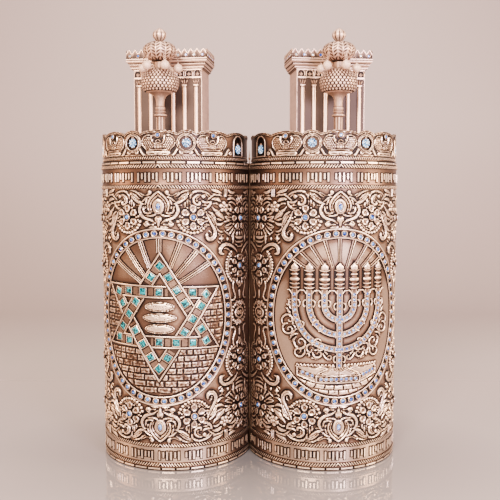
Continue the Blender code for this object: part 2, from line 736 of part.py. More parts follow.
def bells(half):
    """Round bells, each on a short link that leans in to the dome above."""
    for number, degrees in enumerate(BELL_ANGLES[half.side], 1):
        out = (math.sin(math.radians(degrees)), math.cos(math.radians(degrees)))

        def place(across, forward, z):
            reach = BELL_RING - BELL_LEAN * max(z - BELL_TOP, 0.0)
            return half.point(reach * out[0] + across, FINIAL_REACH + reach * out[1] + forward, z)

        points, faces = turned(BELL_PROFILE, BELL_SIDES, place)
        add_solid(f"bell_{half.name}_{number}", half, points, faces, BELL_COPPER)


def pendants(half):
    """Lens-shaped drops that hang in the windows of the crown band."""
    middle = (CROWN_OUTER + CROWN_INNER) / 2
    spots = [(-NICHE_ANGLE, NICHE_DROP_Z), (-WINDOW_ANGLE, WINDOW_Z + 0.3),
             (WINDOW_ANGLE, WINDOW_Z + 0.3), (NICHE_ANGLE, NICHE_DROP_Z)]
    sides = 8
    for number, (angle, z) in enumerate(spots, 1):
        rim = ellipse((angle * middle, z), (7.9, 8.4), sides)
        points = [half.on_curve(u, h, middle, middle) for u, h in rim]
        points += [half.on_curve(angle * middle, z, middle + bulge, middle) for bulge in (-1.6, 2.2)]
        faces = [(i, (i + 1) % sides, sides + end) for i in range(sides) for end in (0, 1)]
        add_solid(f"pendant_{half.name}_{number}", half, points, faces, BLUE_CRYSTAL)


def hinge_knuckles(left, right):
    """Short tubes on the hinge line, carried in turn by the left and the right half."""
    step = BODY_HEIGHT / KNUCKLES
    for number in range(KNUCKLES):
        half = left if number % 2 == 0 else right
        low = number * step + (1.0 if number == 0 else KNUCKLE_GAP / 2)
        high = (number + 1) * step - KNUCKLE_GAP / 2
        points = []
        for radius, z in ((BARREL_RADIUS, low), (BARREL_RADIUS, high), (BARREL_BORE, high),
                          (BARREL_BORE, low)):
            for i in range(BARREL_SIDES):
                turn = math.tau * i / BARREL_SIDES
                points.append(half.point(RADIUS + radius * math.cos(turn), radius * math.sin(turn), z))
        faces = []
        for ring in range(4):
            for i in range(BARREL_SIDES):
                after, other = (i + 1) % BARREL_SIDES, (ring + 1) % 4
                faces.append((ring * BARREL_SIDES + i, ring * BARREL_SIDES + after,
                              other * BARREL_SIDES + after, other * BARREL_SIDES + i))
        add_solid(f"hinge_knuckle_{half.name}_{number + 1}", half, points, faces, DARK_BRASS)


def hinge_pin(half):
    def place(across, forward, z):
        return half.point(RADIUS + across, forward, z)
    points, faces = turned(PIN_PROFILE, BARREL_SIDES, place)
    return add_solid("hinge_pin", half, points, faces, DARK_BRASS)


def clasp(half, name, outline):
    """A small plate on the free edge, drawn as (outward, forward) pairs and carried up."""
    def place(out, forward, z):
        return half.point(-RADIUS - out, forward, z)
    low = CLASP_Z - CLASP_TALL / 2
    points, faces = prism(outline, low, low + CLASP_TALL, place)
    return add_solid(name, half, points, faces, DARK_BRASS, smooth=False)


def face_forms(figure):
    """Every raised form of one carved face, from the four corners to the centre."""
    forms = [belt(z) for z in ROPES]
    for z in SCRIPT_ROWS:
        forms += script_row(z)
    corner, axis, shell = corner_ornament(), centre_ornament(), shell_flower()
    for upright in (1, -1):
        forms += [form.mirrored(across, upright) for across in (1, -1) for form in corner]
        forms += [form.mirrored(1, upright) for form in axis]
    forms += [form.mirrored(across, 1) for across in (1, -1) for form in shell]
    return forms + oval_frame() + figure


def centre_depth(root):
    """Slides the whole case along Y until its box is centred on the origin."""
    bpy.context.view_layer.update()
    depths = []
    for item in bpy.data.objects:
        if item.type == "MESH" and not item.hide_render:
            depths += [(item.matrix_world @ vertex.co).y for vertex in item.data.vertices]
    root.location.y = -(min(depths) + max(depths)) / 2


def main():
    for old in list(bpy.data.objects):
        bpy.data.objects.remove(old, do_unlink=True)
    root = bpy.data.objects.new("torah_case", None)
    bpy.context.collection.objects.link(root)
    left, right = Half("left", -1, root), Half("right", 1, root)
    for half, figure in ((left, star_figure()), (right, lamp_figure())):
        case_half(half, face_forms(figure))
        crown_band(half)
        tower(half)
        finial(half)
        bells(half)
        pendants(half)
    hinge_knuckles(left, right)
    hinge_pin(left)
    clasp(right, "clasp_hook", CLASP_OUTLINE)
    clasp(left, "clasp_keeper", KEEPER_OUTLINE)
    centre_depth(root)


main()
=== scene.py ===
"""Looks of the open Torah case: embossed antique copper set with crystals and square stones.

Lengths are in millimetres until a mesh is made. Each half has its own plan, with x to the right,
y to the back and the origin on its cylinder's axis. Its carved face is laid out flat, with u to
the right along the curve from the medallion's centre line and z up from the floor.

Every piece carries a point attribute, cavity: 0 on a polished ridge, about 0.4 on plain ground
and 1 in a recess where the dark patina stays. As colour it also carries painted light: painted
shade in recesses, narrow gaps and at the feet of forms, and a painted highlight on the ridges.
"""

import json
import math

import bmesh
import bpy
import numpy as np
from mathutils import Matrix, Vector

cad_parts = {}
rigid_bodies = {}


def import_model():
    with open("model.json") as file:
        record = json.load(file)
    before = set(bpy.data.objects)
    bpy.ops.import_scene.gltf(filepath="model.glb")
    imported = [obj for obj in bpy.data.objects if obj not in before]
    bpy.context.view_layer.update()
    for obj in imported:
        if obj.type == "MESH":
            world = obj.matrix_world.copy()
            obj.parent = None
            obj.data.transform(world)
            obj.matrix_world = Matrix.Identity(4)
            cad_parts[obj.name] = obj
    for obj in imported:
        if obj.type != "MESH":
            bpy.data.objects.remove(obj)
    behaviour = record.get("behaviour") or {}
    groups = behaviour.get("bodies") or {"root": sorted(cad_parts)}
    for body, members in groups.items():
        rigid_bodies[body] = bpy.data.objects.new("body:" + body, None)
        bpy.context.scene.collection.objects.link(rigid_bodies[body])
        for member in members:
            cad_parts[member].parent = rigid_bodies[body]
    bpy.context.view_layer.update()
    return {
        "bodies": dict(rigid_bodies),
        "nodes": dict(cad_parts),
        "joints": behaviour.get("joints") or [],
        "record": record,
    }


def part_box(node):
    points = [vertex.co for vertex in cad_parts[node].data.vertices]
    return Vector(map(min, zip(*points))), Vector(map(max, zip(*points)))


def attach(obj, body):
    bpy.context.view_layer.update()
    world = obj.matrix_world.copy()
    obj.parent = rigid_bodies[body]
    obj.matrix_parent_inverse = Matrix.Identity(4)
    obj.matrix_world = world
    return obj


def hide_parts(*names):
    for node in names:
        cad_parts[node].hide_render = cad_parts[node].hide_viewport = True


MM = 0.001
PLAIN = 0.42
SQUARE = ((-1, -1), (1, -1), (1, 1), (-1, 1))

# The case
RADIUS = 140.0
BODY_HEIGHT = 549.0
MID = BODY_HEIGHT / 2
HALF_TURN = math.radians(7.8366)
INNER = 133.0
CORE = 139.0
PLATE = 8.0
SETBACK = 0.2
HINGE_CLEAR = 3.5
FIELD_ANGLE = math.radians(84.0)
FIELD_EDGE = FIELD_ANGLE * RADIUS

# Bands of the carved face
ROPES = (11.2, 46.1, 503.9, 539.4)
ROPE_MIDDLE = 2.45
FIELD_TOP = 500.4
FACE_STEP = 1.25
MEDALLION_STEP = 1.05
SCRIPT_ROWS = (27.75, 520.4)
DASH_ROWS = ((3.6, (1.0, -3.5)), (545.9, (-3.1, 1.8)))
DASH_PITCH = 25.87

# Medallion
OVAL = (130.0, 148.4)
OVAL_STONES = 54
STAR_TIPS = (((2.2, 116.8), (-109.6, -51.5), (109.6, -56.0)),
             ((-1.0, -115.0), (109.6, 55.0), (-109.6, 59.0)))
STAR_BAND = 22.2
STAR_GAP = 1.3
ARM_STEP = 26.5
HUB = MID + 24.0

# Crown band
CROWN_RADIUS = 137.5
CROWN_BACK = 134.7
CROWN_FOOT = 549.3
CROWN_TOP = 602.0
CROWN_NOTCH = 595.5
CROWN_EDGE = math.radians(86.0) * CROWN_RADIUS
CROWN_STEP = 1.15
ARCH_ENDS = (14.0, 27.5, 54.6, 77.5)
CROWNS = (-97.0, 0.0, 97.0)
WINDOW = (48.7, 579.5, 11.7)
NICHE = (159.6, 562.0, 582.0, 11.0)

# Tower
TOWER_HALF = 63.0
TOWER_DEPTH = 66.0
TOWER_WALL = 3.0
CORNICE_TOP = 733.7

# Finial and bells
FINIAL = (0.0, -120.0)
BELL_RING = 31.9
BELL_ANGLES = {-1: (-97, -28, 30, 112, 163, 213), 1: (-90, -8, 52, 121, 170, 220)}
BELL_HEIGHT = 709.6

finishes, shapes = {}, {}


# Node trees

class Signal:
    """One output of a node, which takes part in sums as a number would."""

    def __init__(self, graph, socket):
        self.graph = graph
        self.socket = socket

    def maths(self, operation, *terms):
        return self.graph.node("ShaderNodeMath", {"operation": operation}, dict(enumerate(terms)))

    def __add__(self, other):
        return self.maths("ADD", self, other)

    def __sub__(self, other):
        return self.maths("SUBTRACT", self, other)

    def __rsub__(self, other):
        return self.maths("SUBTRACT", other, self)

    def __mul__(self, other):
        return self.maths("MULTIPLY", self, other)

    __radd__ = __add__
    __rmul__ = __mul__


class Graph:
    """A node tree, and the one way its nodes are made."""

    def __init__(self, tree):
        self.tree = tree

    def node(self, kind, settings=None, inputs=None, out=0):
        made = self.tree.nodes.new(kind)
        for name, value in (settings or {}).items():
            if name == "stops":
                self.set_stops(made.color_ramp, value)
            else:
                setattr(made, name, value)
        for socket, value in (inputs or {}).items():
            if isinstance(value, Signal):
                self.tree.links.new(value.socket, made.inputs[socket])
            else:
                made.inputs[socket].default_value = value
        return Signal(self, made.outputs[out]) if made.outputs else None

    def noise(self, place, scale, detail):
        return self.node("ShaderNodeTexNoise", inputs={"Vector": place, "Scale": scale, "Detail": detail})

    def ramp(self, value, *stops):
        """Colours at (place, screen colour) stops along a value."""
        stops = [(place, tint(*colour)) for place, colour in stops]
        return self.node("ShaderNodeValToRGB", {"stops": stops}, {"Fac": value})

    def mapped(self, value, low, high, to_low=0.0, to_high=1.0, way="LINEAR"):
        return self.node("ShaderNodeMapRange", {"interpolation_type": way}, {
            "Value": value, "From Min": low, "From Max": high, "To Min": to_low, "To Max": to_high})

    @staticmethod
    def set_stops(ramp, stops):
        while len(ramp.elements) < len(stops):
            ramp.elements.new(1.0)
        for element, (place, colour) in zip(ramp.elements, stops):
            element.position = place
            element.color = (*colour, 1.0)


def tint(red, green, blue):
    """A screen colour as the linear values that a shader takes."""
    return tuple(((c + 0.055) / 1.055) ** 2.4 if c > 0.04045 else c / 12.92 for c in (red, green, blue))


def new_finish(name, build, **plain):
    """A material whose shader has plain values, and links from what build returns."""
    made = bpy.data.materials.new(name)
    made.use_nodes = True
    made.node_tree.nodes.clear()
    graph = Graph(made.node_tree)
    place = graph.node("ShaderNodeTexCoord", out="Object")
    inputs = {key.replace("_", " ").title().replace("Ior", "IOR"): value for key, value in plain.items()}
    inputs.update(build(graph, place))
    shader = graph.node("ShaderNodeBsdfPrincipled", inputs=inputs)
    graph.node("ShaderNodeOutputMaterial", inputs={"Surface": shader})
    return made


def copper(name, recess, ground, ridge, dull=0.46, bright=0.30, grain=0.05, metallic=0.85, dusk=0.0,
           speckle=0.10):
    """Antique copper: dark in recesses from patina and painted shade, polished on the ridges with a painted
    highlight, and darker beside the hinge by painted shade.
    """
    def build(graph, place):
        depth = graph.node("ShaderNodeAttribute", {"attribute_name": "cavity"}, out="Fac")
        specks = graph.noise(place, 620.0, 2.0)
        tone = depth + (graph.noise(place, 16.0, 3.0) - 0.5) * 0.12 + (specks - 0.5) * speckle
        # Painted shade: darker near the hinge, where the two halves shade each other.
        if dusk:
            across = graph.node("ShaderNodeSeparateXYZ", inputs={"Vector": place})
            middle = across.maths("ABSOLUTE", across)
            tone = tone + graph.mapped(middle, 0.050, 0.006, way="SMOOTHSTEP") * dusk
        shade = graph.node("ShaderNodeValToRGB", {"stops": [
            (0.08, tint(*ridge)), (0.38, tint(*ground)),
            (0.58, [a * 0.72 + b * 0.28 for a, b in zip(tint(*recess), tint(*ground))]),
            (0.78, tint(*recess))]}, {"Fac": tone})
        relief = graph.node("ShaderNodeBump", inputs={
            "Strength": grain, "Distance": 0.0004, "Height": specks})
        return {"Base Color": shade, "Roughness": bright + (dull - bright) * tone, "Normal": relief}
    return new_finish(name, build, metallic=metallic)


def stone(name, deep, pale, roughness=0.04, ior=1.6, **plain):
    """Cut crystal: its tint drifts from facet to facet."""
    def build(graph, place):
        return {"Base Color": graph.ramp(graph.noise(place, 310.0, 1.0), (0.42, deep), (0.58, pale))}
    return new_finish(name, build, roughness=roughness, ior=ior, **plain)


def ashlar(name):
    """The tower's plain walls: faint courses and small dark pits."""
    def build(graph, place):
        upright = graph.node("ShaderNodeMapping", inputs={
            "Vector": place, "Rotation": (math.pi / 2, 0.0, 0.0)})
        bricks = graph.node("ShaderNodeTexBrick", inputs={
            "Vector": upright, "Color1": (1.0, 1.0, 1.0, 1.0), "Color2": (0.86, 0.86, 0.86, 1.0),
            "Mortar": (0.55, 0.55, 0.55, 1.0), "Scale": 40.0, "Mortar Size": 0.012, "Brick Width": 0.9,
            "Row Height": 0.42})
        pits = graph.node("ShaderNodeTexVoronoi", inputs={"Vector": place, "Scale": 260.0})
        spots = graph.mapped(graph.noise(place, 55.0, 4.0), 0.57, 0.62)
        mask = graph.node("ShaderNodeMix", {"data_type": "FLOAT"}, {"Factor": spots, "A": 1.0, "B": pits})
        worn = mask * bricks
        colour = graph.ramp(worn, (0.05, (0.20, 0.13, 0.10)), (0.20, (0.70, 0.54, 0.45)),
                            (1.0, (0.84, 0.69, 0.60)))
        relief = graph.node("ShaderNodeBump", inputs={"Strength": 0.4, "Distance": 0.0006, "Height": worn})
        return {"Base Color": colour, "Normal": relief}
    return new_finish(name, build, metallic=0.8, roughness=0.42)


def paper(name):
    """Pale paper, polished, and darker where the case stands: a painted shadow under the case."""
    def build(graph, place):
        oval = graph.node("ShaderNodeMapping", inputs={"Vector": place, "Scale": (0.66, 1.0, 1.0)})
        reach = graph.node("ShaderNodeVectorMath", {"operation": "LENGTH"}, {"Vector": oval}, out="Value")
        behind = graph.node("ShaderNodeSeparateXYZ", inputs={"Vector": place}, out="Y")
        # Painted shadow: the paper's tone darkens towards where the case stands.
        tone = graph.ramp(graph.mapped(reach, 0.05, 2.6),
                          (0.0, (0.35, 0.34, 0.34)), (0.12, (0.565, 0.525, 0.512)),
                          (0.3, (0.615, 0.565, 0.55)), (1.0, (0.655, 0.572, 0.55)))
        return {"Base Color": tone, "Roughness": graph.mapped(behind, 0.25, 0.9, 0.015, 0.6, "SMOOTHSTEP")}
    return new_finish(name, build, ior=1.9)


def make_finishes():
    coppers = (
        ("copper", "embossed_copper", (0.09, 0.06, 0.052), (0.395, 0.288, 0.228), (0.96, 0.825, 0.705),
         {"dusk": 0.20}),
        ("inside", "inner_copper", (0.30, 0.20, 0.15), (0.56, 0.41, 0.33), (0.76, 0.60, 0.50),
         {"dull": 0.55, "bright": 0.42, "grain": 0.25}),
        ("pale", "pale_copper", (0.11, 0.07, 0.055), (0.45, 0.335, 0.275), (0.865, 0.705, 0.60),
         {"dull": 0.60, "bright": 0.40, "metallic": 0.7}),
        ("bell", "bell_copper", (0.38, 0.27, 0.22), (0.67, 0.53, 0.445), (0.88, 0.74, 0.64),
         {"dull": 0.62, "bright": 0.55, "grain": 0.9, "metallic": 0.4, "speckle": 0.9}),
        ("hinge", "dark_metal", (0.08, 0.06, 0.05), (0.22, 0.16, 0.13), (0.50, 0.39, 0.32), {}),
    )
    for key, name, recess, ground, ridge, more in coppers:
        finishes[key] = copper(name, recess, ground, ridge, **more)
    cut = {"transmission_weight": 0.2, "coat_weight": 0.6}
    stones = (
        ("crystal", "blue_crystal", (0.03, 0.15, 0.48), (0.44, 0.65, 0.92), cut),
        ("pale_crystal", "pale_blue_crystal", (0.06, 0.20, 0.56), (0.58, 0.75, 0.98),
         {"transmission_weight": 0.3, "coat_weight": 0.6}),
        ("deep_crystal", "deep_blue_crystal", (0.06, 0.18, 0.60), (0.40, 0.60, 0.98), cut),
        ("teal_crystal", "teal_crystal", (0.02, 0.14, 0.30), (0.25, 0.55, 0.75),
         {"roughness": 0.05, "coat_weight": 0.5}),
        ("glint", "white_crystal", (0.36, 0.54, 0.70), (0.84, 0.92, 1.0), {"roughness": 0.12}),
        ("clear", "clear_crystal", (0.90, 0.92, 0.96), (1.0, 1.0, 1.0),
         {"transmission_weight": 0.6, "coat_weight": 0.6}),
        ("turquoise", "turquoise_stone", (0.0, 0.14, 0.17), (0.03, 0.57, 0.59),
         {"roughness": 0.16, "ior": 1.5, "metallic": 0.25, "coat_weight": 0.15}),
    )
    for key, name, deep, pale, more in stones:
        finishes[key] = stone(name, deep, pale, **more)
    finishes["ashlar"] = ashlar("ashlar_copper")


# The two halves and their meshes

def store(mesh, name, kind, values):
    field = "vector" if kind == "FLOAT_VECTOR" else "value"
    made = mesh.attributes.new(name, kind, "POINT")
    made.data.foreach_set(field, np.ascontiguousarray(values, dtype=np.float32).ravel())


def formed(name, points, faces, cavity, outward=True, sharp=50.0):
    """A mesh that carries its cavity; with a sharp angle it is smooth up to that angle."""
    mesh = bpy.data.meshes.new(name)
    mesh.from_pydata(points, [], faces)
    store(mesh, "cavity", "FLOAT", np.broadcast_to(cavity, len(points)))
    if outward:
        shape = bmesh.new()
        shape.from_mesh(mesh)
        bmesh.ops.recalc_face_normals(shape, faces=shape.faces)
        shape.to_mesh(mesh)
        shape.free()
    if sharp:
        mesh.shade_smooth()
        mesh.set_sharp_from_angle(angle=math.radians(sharp))
    return mesh


def placed(name, data):
    """An object that shows a mesh, a light or a camera."""
    made = bpy.data.objects.new(name, data)
    bpy.context.collection.objects.link(made)
    return made


class Half:
    """One half of the case: side is -1 for the left half and 1 for the right."""

    def __init__(self, name, side, hinge_y):
        self.name = name
        self.side = side
        self.body = f"{name}_half"
        self.place = (Matrix.Translation((0, hinge_y, 0)) @ Matrix.Rotation(side * HALF_TURN, 4, "Z")
                      @ Matrix.Translation((side * RADIUS * MM, 0, 0)))

    def to_world(self, points):
        matrix = np.array(self.place)
        return np.asarray(points, float) * MM @ matrix[:3, :3].T + matrix[:3, 3]

    def add(self, name, points, faces, cavity=0.0, finish="copper", replaces=(), **more):
        """A mesh in this half's plan, as an object that rides on this half."""
        mesh = formed(name, self.to_world(points), faces, cavity, **more)
        mesh.materials.append(finishes[finish])
        return self.dress(placed(f"{name}_{self.name}", mesh), finish, replaces)

    def dress(self, made, finish, replaces):
        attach(made, self.body)
        if replaces:
            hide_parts(*replaces)
        return made


def net(rows, columns, wrap_rows=False, wrap_columns=True, caps=True):
    """Faces of a net of points, row after row; caps close its first and last row."""
    index = np.arange(rows * columns).reshape(rows, columns)
    ends = [index[0].tolist(), index[-1].tolist()[::-1]]
    if wrap_rows:
        index = np.vstack([index, index[:1]])
    if wrap_columns:
        index = np.hstack([index, index[:, :1]])
    quads = np.stack([index[:-1, :-1], index[1:, :-1], index[1:, 1:], index[:-1, 1:]], -1)
    return quads.reshape(-1, 4).tolist() + (ends if caps and not wrap_rows else [])


def on_curve(u, z, radius, unroll=RADIUS):
    """Points in a half's plan for places on its laid-out face."""
    u, z, radius = np.broadcast_arrays(u, z, radius)
    angle = u / unroll
    return np.stack([radius * np.sin(angle), -radius * np.cos(angle), z], -1).reshape(-1, 3)


def smoothed(path, steps=5):
    """A curve through every point of a path; extra columns, such as widths, follow along."""
    path = np.array(path, float)
    ends = np.vstack([2 * path[:1] - path[1:2], path, 2 * path[-1:] - path[-2:-1]])
    t = np.linspace(0, 1, steps, endpoint=False)[:, None]
    runs = [0.5 * (2 * b + (c - a) * t + (2 * a - 5 * b + 4 * c - d) * t ** 2
                   + (3 * b - a - 3 * c + d) * t ** 3)
            for a, b, c, d in zip(ends, ends[1:], ends[2:], ends[3:])]
    return np.vstack(runs + [path[-1:]])


def polar(reach, degrees, centre=(0.0, 0.0)):
    """Places at a reach or (across, up) reaches from a centre, by their angles in degrees."""
    turn = np.radians(degrees)
    across, up = np.broadcast_to(reach, 2)
    return np.stack([centre[0] + across * np.cos(turn), centre[1] + up * np.sin(turn)], -1)


def ring(centre, reach, count, start=90.0, sweep=360.0):
    """Places round a whole ellipse, or from end to end of a part of it."""
    return polar(reach, start + sweep * np.arange(count) / (count - (sweep != 360.0)), centre)


def side_steps(path, closed):
    """For each point of a path, the step that shifts it one unit to its left, mitred at corners."""
    run = np.roll(path, -1, 0) - path
    if not closed:
        run[-1] = run[-2]
    run /= np.linalg.norm(run, axis=1, keepdims=True)
    left = np.stack([-run[:, 1], run[:, 0]], -1)
    before = np.roll(left, 1, 0)
    if not closed:
        before[0] = left[0]
    both = left + before
    return 2 * both / np.maximum((both ** 2).sum(1, keepdims=True), 1.0)


def carry(half, name, path, profile, closed=True, taper=1.0):
    """Carries a closed profile of (offset, height, cavity) along a path on the carved face."""
    offset, height, cavity = np.array(profile, float).T
    shift = side_steps(path, closed)[:, None, :] * offset[:, None]
    flat = path[:, None, :] + shift * np.broadcast_to(taper, len(path))[:, None, None]
    points = on_curve(flat[..., 0], flat[..., 1], RADIUS + height)
    half.add(name, points, net(len(path), len(profile), closed), np.tile(cavity, len(path)))


def mirrored(profile):
    """A profile followed by its own mirror image, point for point."""
    return [(-offset, *rest) for offset, *rest in profile[::-1]]


def turned(profile, sides, centre=(0.0, 0.0), ripple=None, hollow=False):
    """Points and faces of a piece turned from (radius, height) pairs, closed or joined at its ends."""
    profile = np.array(profile, float)
    angle = math.tau * np.arange(sides) / sides
    radius = np.repeat(profile[:, :1], sides, 1)
    if ripple:
        radius = radius * ripple(angle[None, :], profile[:, 1:2])
    points = np.stack([centre[0] + radius * np.cos(angle), centre[1] + radius * np.sin(angle),
                       np.repeat(profile[:, 1:2], sides, 1)], -1)
    return points.reshape(-1, 3), net(len(profile), sides, hollow)


def stack(outline, levels, hollow=False):
    """A part from one outline at several levels of (x scale, y scale, z, cavity)."""
    points = [(wide * x, long * y, z) for wide, long, z, _ in levels for x, y in outline]
    cavity = [dark for *_, dark in levels for _ in outline]
    return points, net(len(levels), len(outline), hollow), cavity


def joined(parts):
    """Several (points, faces, cavity) parts as one."""
    points, faces, cavity = [], [], []
    for own_points, own_faces, own_cavity in parts:
        faces += [[len(points) + i for i in face] for face in own_faces]
        points += list(own_points)
        cavity += list(np.broadcast_to(own_cavity, len(own_points)))
    return points, faces, cavity


# Embossed sheets

class Relief:
    """Heights over a part of a laid-out face, on an even grid."""

    def __init__(self, low_u, high_u, columns, low_z, high_z, rows):
        self.u, self.z = np.linspace(low_u, high_u, columns + 1), np.linspace(low_z, high_z, rows + 1)
        self.step = self.u[1] - self.u[0]
        self.grid = np.meshgrid(self.u, self.z)
        self.height, self.stain_and_painted_shade = np.zeros((2, rows + 1, columns + 1))

    def window(self, low, high):
        rows = slice(*np.searchsorted(self.z, (low[1], high[1])))
        columns = slice(*np.searchsorted(self.u, (low[0], high[0])))
        return (rows, columns), *np.meshgrid(self.u[columns], self.z[rows])

    def about(self, centre, reach, turn):
        """The window round a centre, and how far its places lie across and along a turned form."""
        window, u, z = self.window([c - reach for c in centre], [c + reach for c in centre])
        u, z, turn = u - centre[0], z - centre[1], math.radians(turn)
        return window, u * math.cos(turn) + z * math.sin(turn), z * math.cos(turn) - u * math.sin(turn)

    def lay(self, window, edge, height, moat=1.0):
        """Lays a form over what is there: edge is the distance outside its outline."""
        field = self.height[window]
        if field.size:
            field *= np.where(edge > 0, np.clip(edge / moat, 0, 1), 1)
            np.maximum(field, np.where(edge <= 0, height, field), out=field)

    def stroke(self, path, rise=2.2, flutes=0.0, steps=5, moat=1.0):
        """A rounded stroke along a path of (u, z, half width), fluted on request."""
        path = smoothed(path, steps)
        path[:, 2] = np.maximum(path[:, 2], 0.25)
        widest = path[:, 2].max()
        reach = widest + moat
        window, u, z = self.window(path[:, :2].min(0) - reach, path[:, :2].max(0) + reach)
        best = np.full(u.shape, np.inf)
        share, width = best.copy(), np.full(u.shape, widest)
        for (u0, z0, w0), (u1, z1, w1) in zip(path, path[1:]):
            run, climb = u1 - u0, z1 - z0
            along = np.clip(((u - u0) * run + (z - z0) * climb) / max(run ** 2 + climb ** 2, 1e-9), 0, 1)
            here = w0 + (w1 - w0) * along
            away = np.hypot(u - u0 - along * run, z - z0 - along * climb)
            nearer = away - here < best
            best[nearer] = (away - here)[nearer]
            share[nearer] = (away / here)[nearer]
            width[nearer] = here[nearer]
        dome = np.sqrt(np.clip(1 - share ** 2, 0, 1))
        if flutes:
            dome = dome * (0.80 - 0.20 * np.cos(math.tau * flutes * share))
        self.lay(window, best, rise * (width / widest) ** 0.35 * dome, moat)

    def strokes(self, rows, side=1, **more):
        """Strokes from rows of (rise, path, flutes on request), turned over where side is -1."""
        for rise, path, *flutes in rows:
            self.stroke([(side * u, z, w) for u, z, w in path], rise, *flutes, **more)

    def dome(self, centre, radii, rise=2.2, turn=0.0, pit=0.0, moat=1.0, power=0.5):
        """A rounded boss; pit sinks its middle, as in a petal or a cup."""
        window, across, along = self.about(centre, np.max(radii) + moat, turn)
        radii = np.broadcast_to(radii, 2)
        share = np.hypot(across / radii[0], along / radii[1])
        height = rise * np.clip(1 - share ** 2, 0, 1) ** power * (1 - pit * np.exp(-(share / 0.36) ** 2))
        self.lay(window, (share - 1) * min(radii), height, moat)

    def panel(self, outline, rise, slope=1.2, moat=1.0):
        """A flat raised panel with straight edges, given anticlockwise."""
        outline = np.array(outline, float)
        window, u, z = self.window(outline.min(0) - moat - 0.5, outline.max(0) + moat + 0.5)
        edge = np.full(u.shape, -np.inf)
        for (u0, z0), (u1, z1) in zip(outline, np.roll(outline, -1, 0)):
            long = math.hypot(u1 - u0, z1 - z0)
            edge = np.maximum(edge, ((z1 - z0) * (u - u0) - (u1 - u0) * (z - z0)) / long)
        self.lay(window, edge, rise * np.clip(-edge / slope, 0, 1), moat)

    def petal(self, centre, radii, rise, turn, rim=0.42):
        """A hollow drop-shaped petal that narrows to its foot."""
        window, across, along = self.about(centre, 1.4 * max(radii), turn)
        along = along / radii[1]
        share = np.hypot(across / (radii[0] * (1.0 + 0.30 * np.clip(along, -1.2, 1.0))), along)
        height = rise * np.clip(1 - ((share - 1 + rim / 2) / (rim / 2 + 0.1)) ** 2, 0, 1) ** 0.6
        self.lay(window, (share - 1) * min(radii), np.maximum(height, 0.58 * rise * (share < 1)))

    def flower(self, centre, reach, radii, middle, rise, start=90.0, petals=6):
        """Hollow petals with small beads between them, round an open middle."""
        for i in range(petals):
            angle = start + 360.0 * i / petals
            self.dome(polar(reach * 1.27, angle + 180.0 / petals, centre), 1.7, 1.5)
            self.petal(polar(reach, angle, centre), radii, 2.3, angle - 90.0)
        self.dome(centre, middle, rise, power=0.3)

    def beads(self, centre, radius, first, sweep, size, pitch):
        """A row of round beads along an arc, on a low band."""
        count = round(math.radians(sweep) * radius / pitch)
        self.arc(centre, radius, 2 * count, first, sweep, size * 0.5, 1.035)
        for place in ring(centre, radius, count + 1, first, sweep):
            self.dome(place, size, 2.3, moat=0.5)

    def arc(self, centre, radius, count, first, sweep, half_width, rise):
        band = ring(centre, radius, count, first, sweep)
        self.stroke(np.column_stack([band, np.full(count, half_width)]), rise, steps=1)

    def trace(self, depth=0.55):
        """Digs a fine groove along the foot of every form, as a chaser's tracer does."""
        self.height -= depth * np.clip(self.blurred(1.3 / self.step) - self.height, 0, 1)

    def cavity(self):
        """How deep each place lies among its neighbours, from 0 on ridges to 1 in recesses; as colour, patina
        with painted shade in the recesses and a painted highlight on the ridges.
        """
        near, wide = (self.blurred(reach / self.step) for reach in (1.6, 3.8))
        steep = np.hypot(*np.gradient(self.height, self.step))
        # Painted shade: steep flanks and gaps closed in by forms are darkened further, and higher places get
        # a slight painted highlight.
        depth = PLAIN + 0.60 * (near - self.height) + 0.30 * (wide - self.height) + 0.12 * steep
        depth += 0.8 * np.clip(wide - 0.45 - self.height, 0, 1)
        return np.clip(depth - 0.05 * np.clip(self.height, 0, 2.5) + self.stain_and_painted_shade, 0.0, 1.0)

    def blurred(self, reach, result=None):
        steps = np.arange(-math.ceil(2.5 * reach), math.ceil(2.5 * reach) + 1)
        weight = np.exp(-0.5 * (steps / reach) ** 2)
        weight /= weight.sum()
        result = self.height if result is None else result
        for axis in (0, 1):
            pad = [(len(steps) // 2,) * 2 if axis == side else (0, 0) for side in (0, 1)]
            wide = np.pad(result, pad, mode="edge")
            size = result.shape[axis]
            result = sum(w * np.take(wide, range(i, i + size), axis) for i, w in enumerate(weight))
        return result


def trimmed(relief, edge):
    """The grid's places drawn on to the line where edge is 0, and the cells that lie within it."""
    u, z = relief.grid
    slope_z, slope_u = np.gradient(edge, relief.z, relief.u)
    steep = np.maximum(slope_u ** 2 + slope_z ** 2, 0.2)
    keep = edge < -0.2 * relief.step
    cells = keep[:-1, :-1] | keep[1:, :-1] | keep[1:, 1:] | keep[:-1, 1:]
    outside = np.minimum(np.where(edge > 0, edge, 0.0), 2.0 * relief.step)
    return u - outside * slope_u / steep, z - outside * slope_z / steep, cells


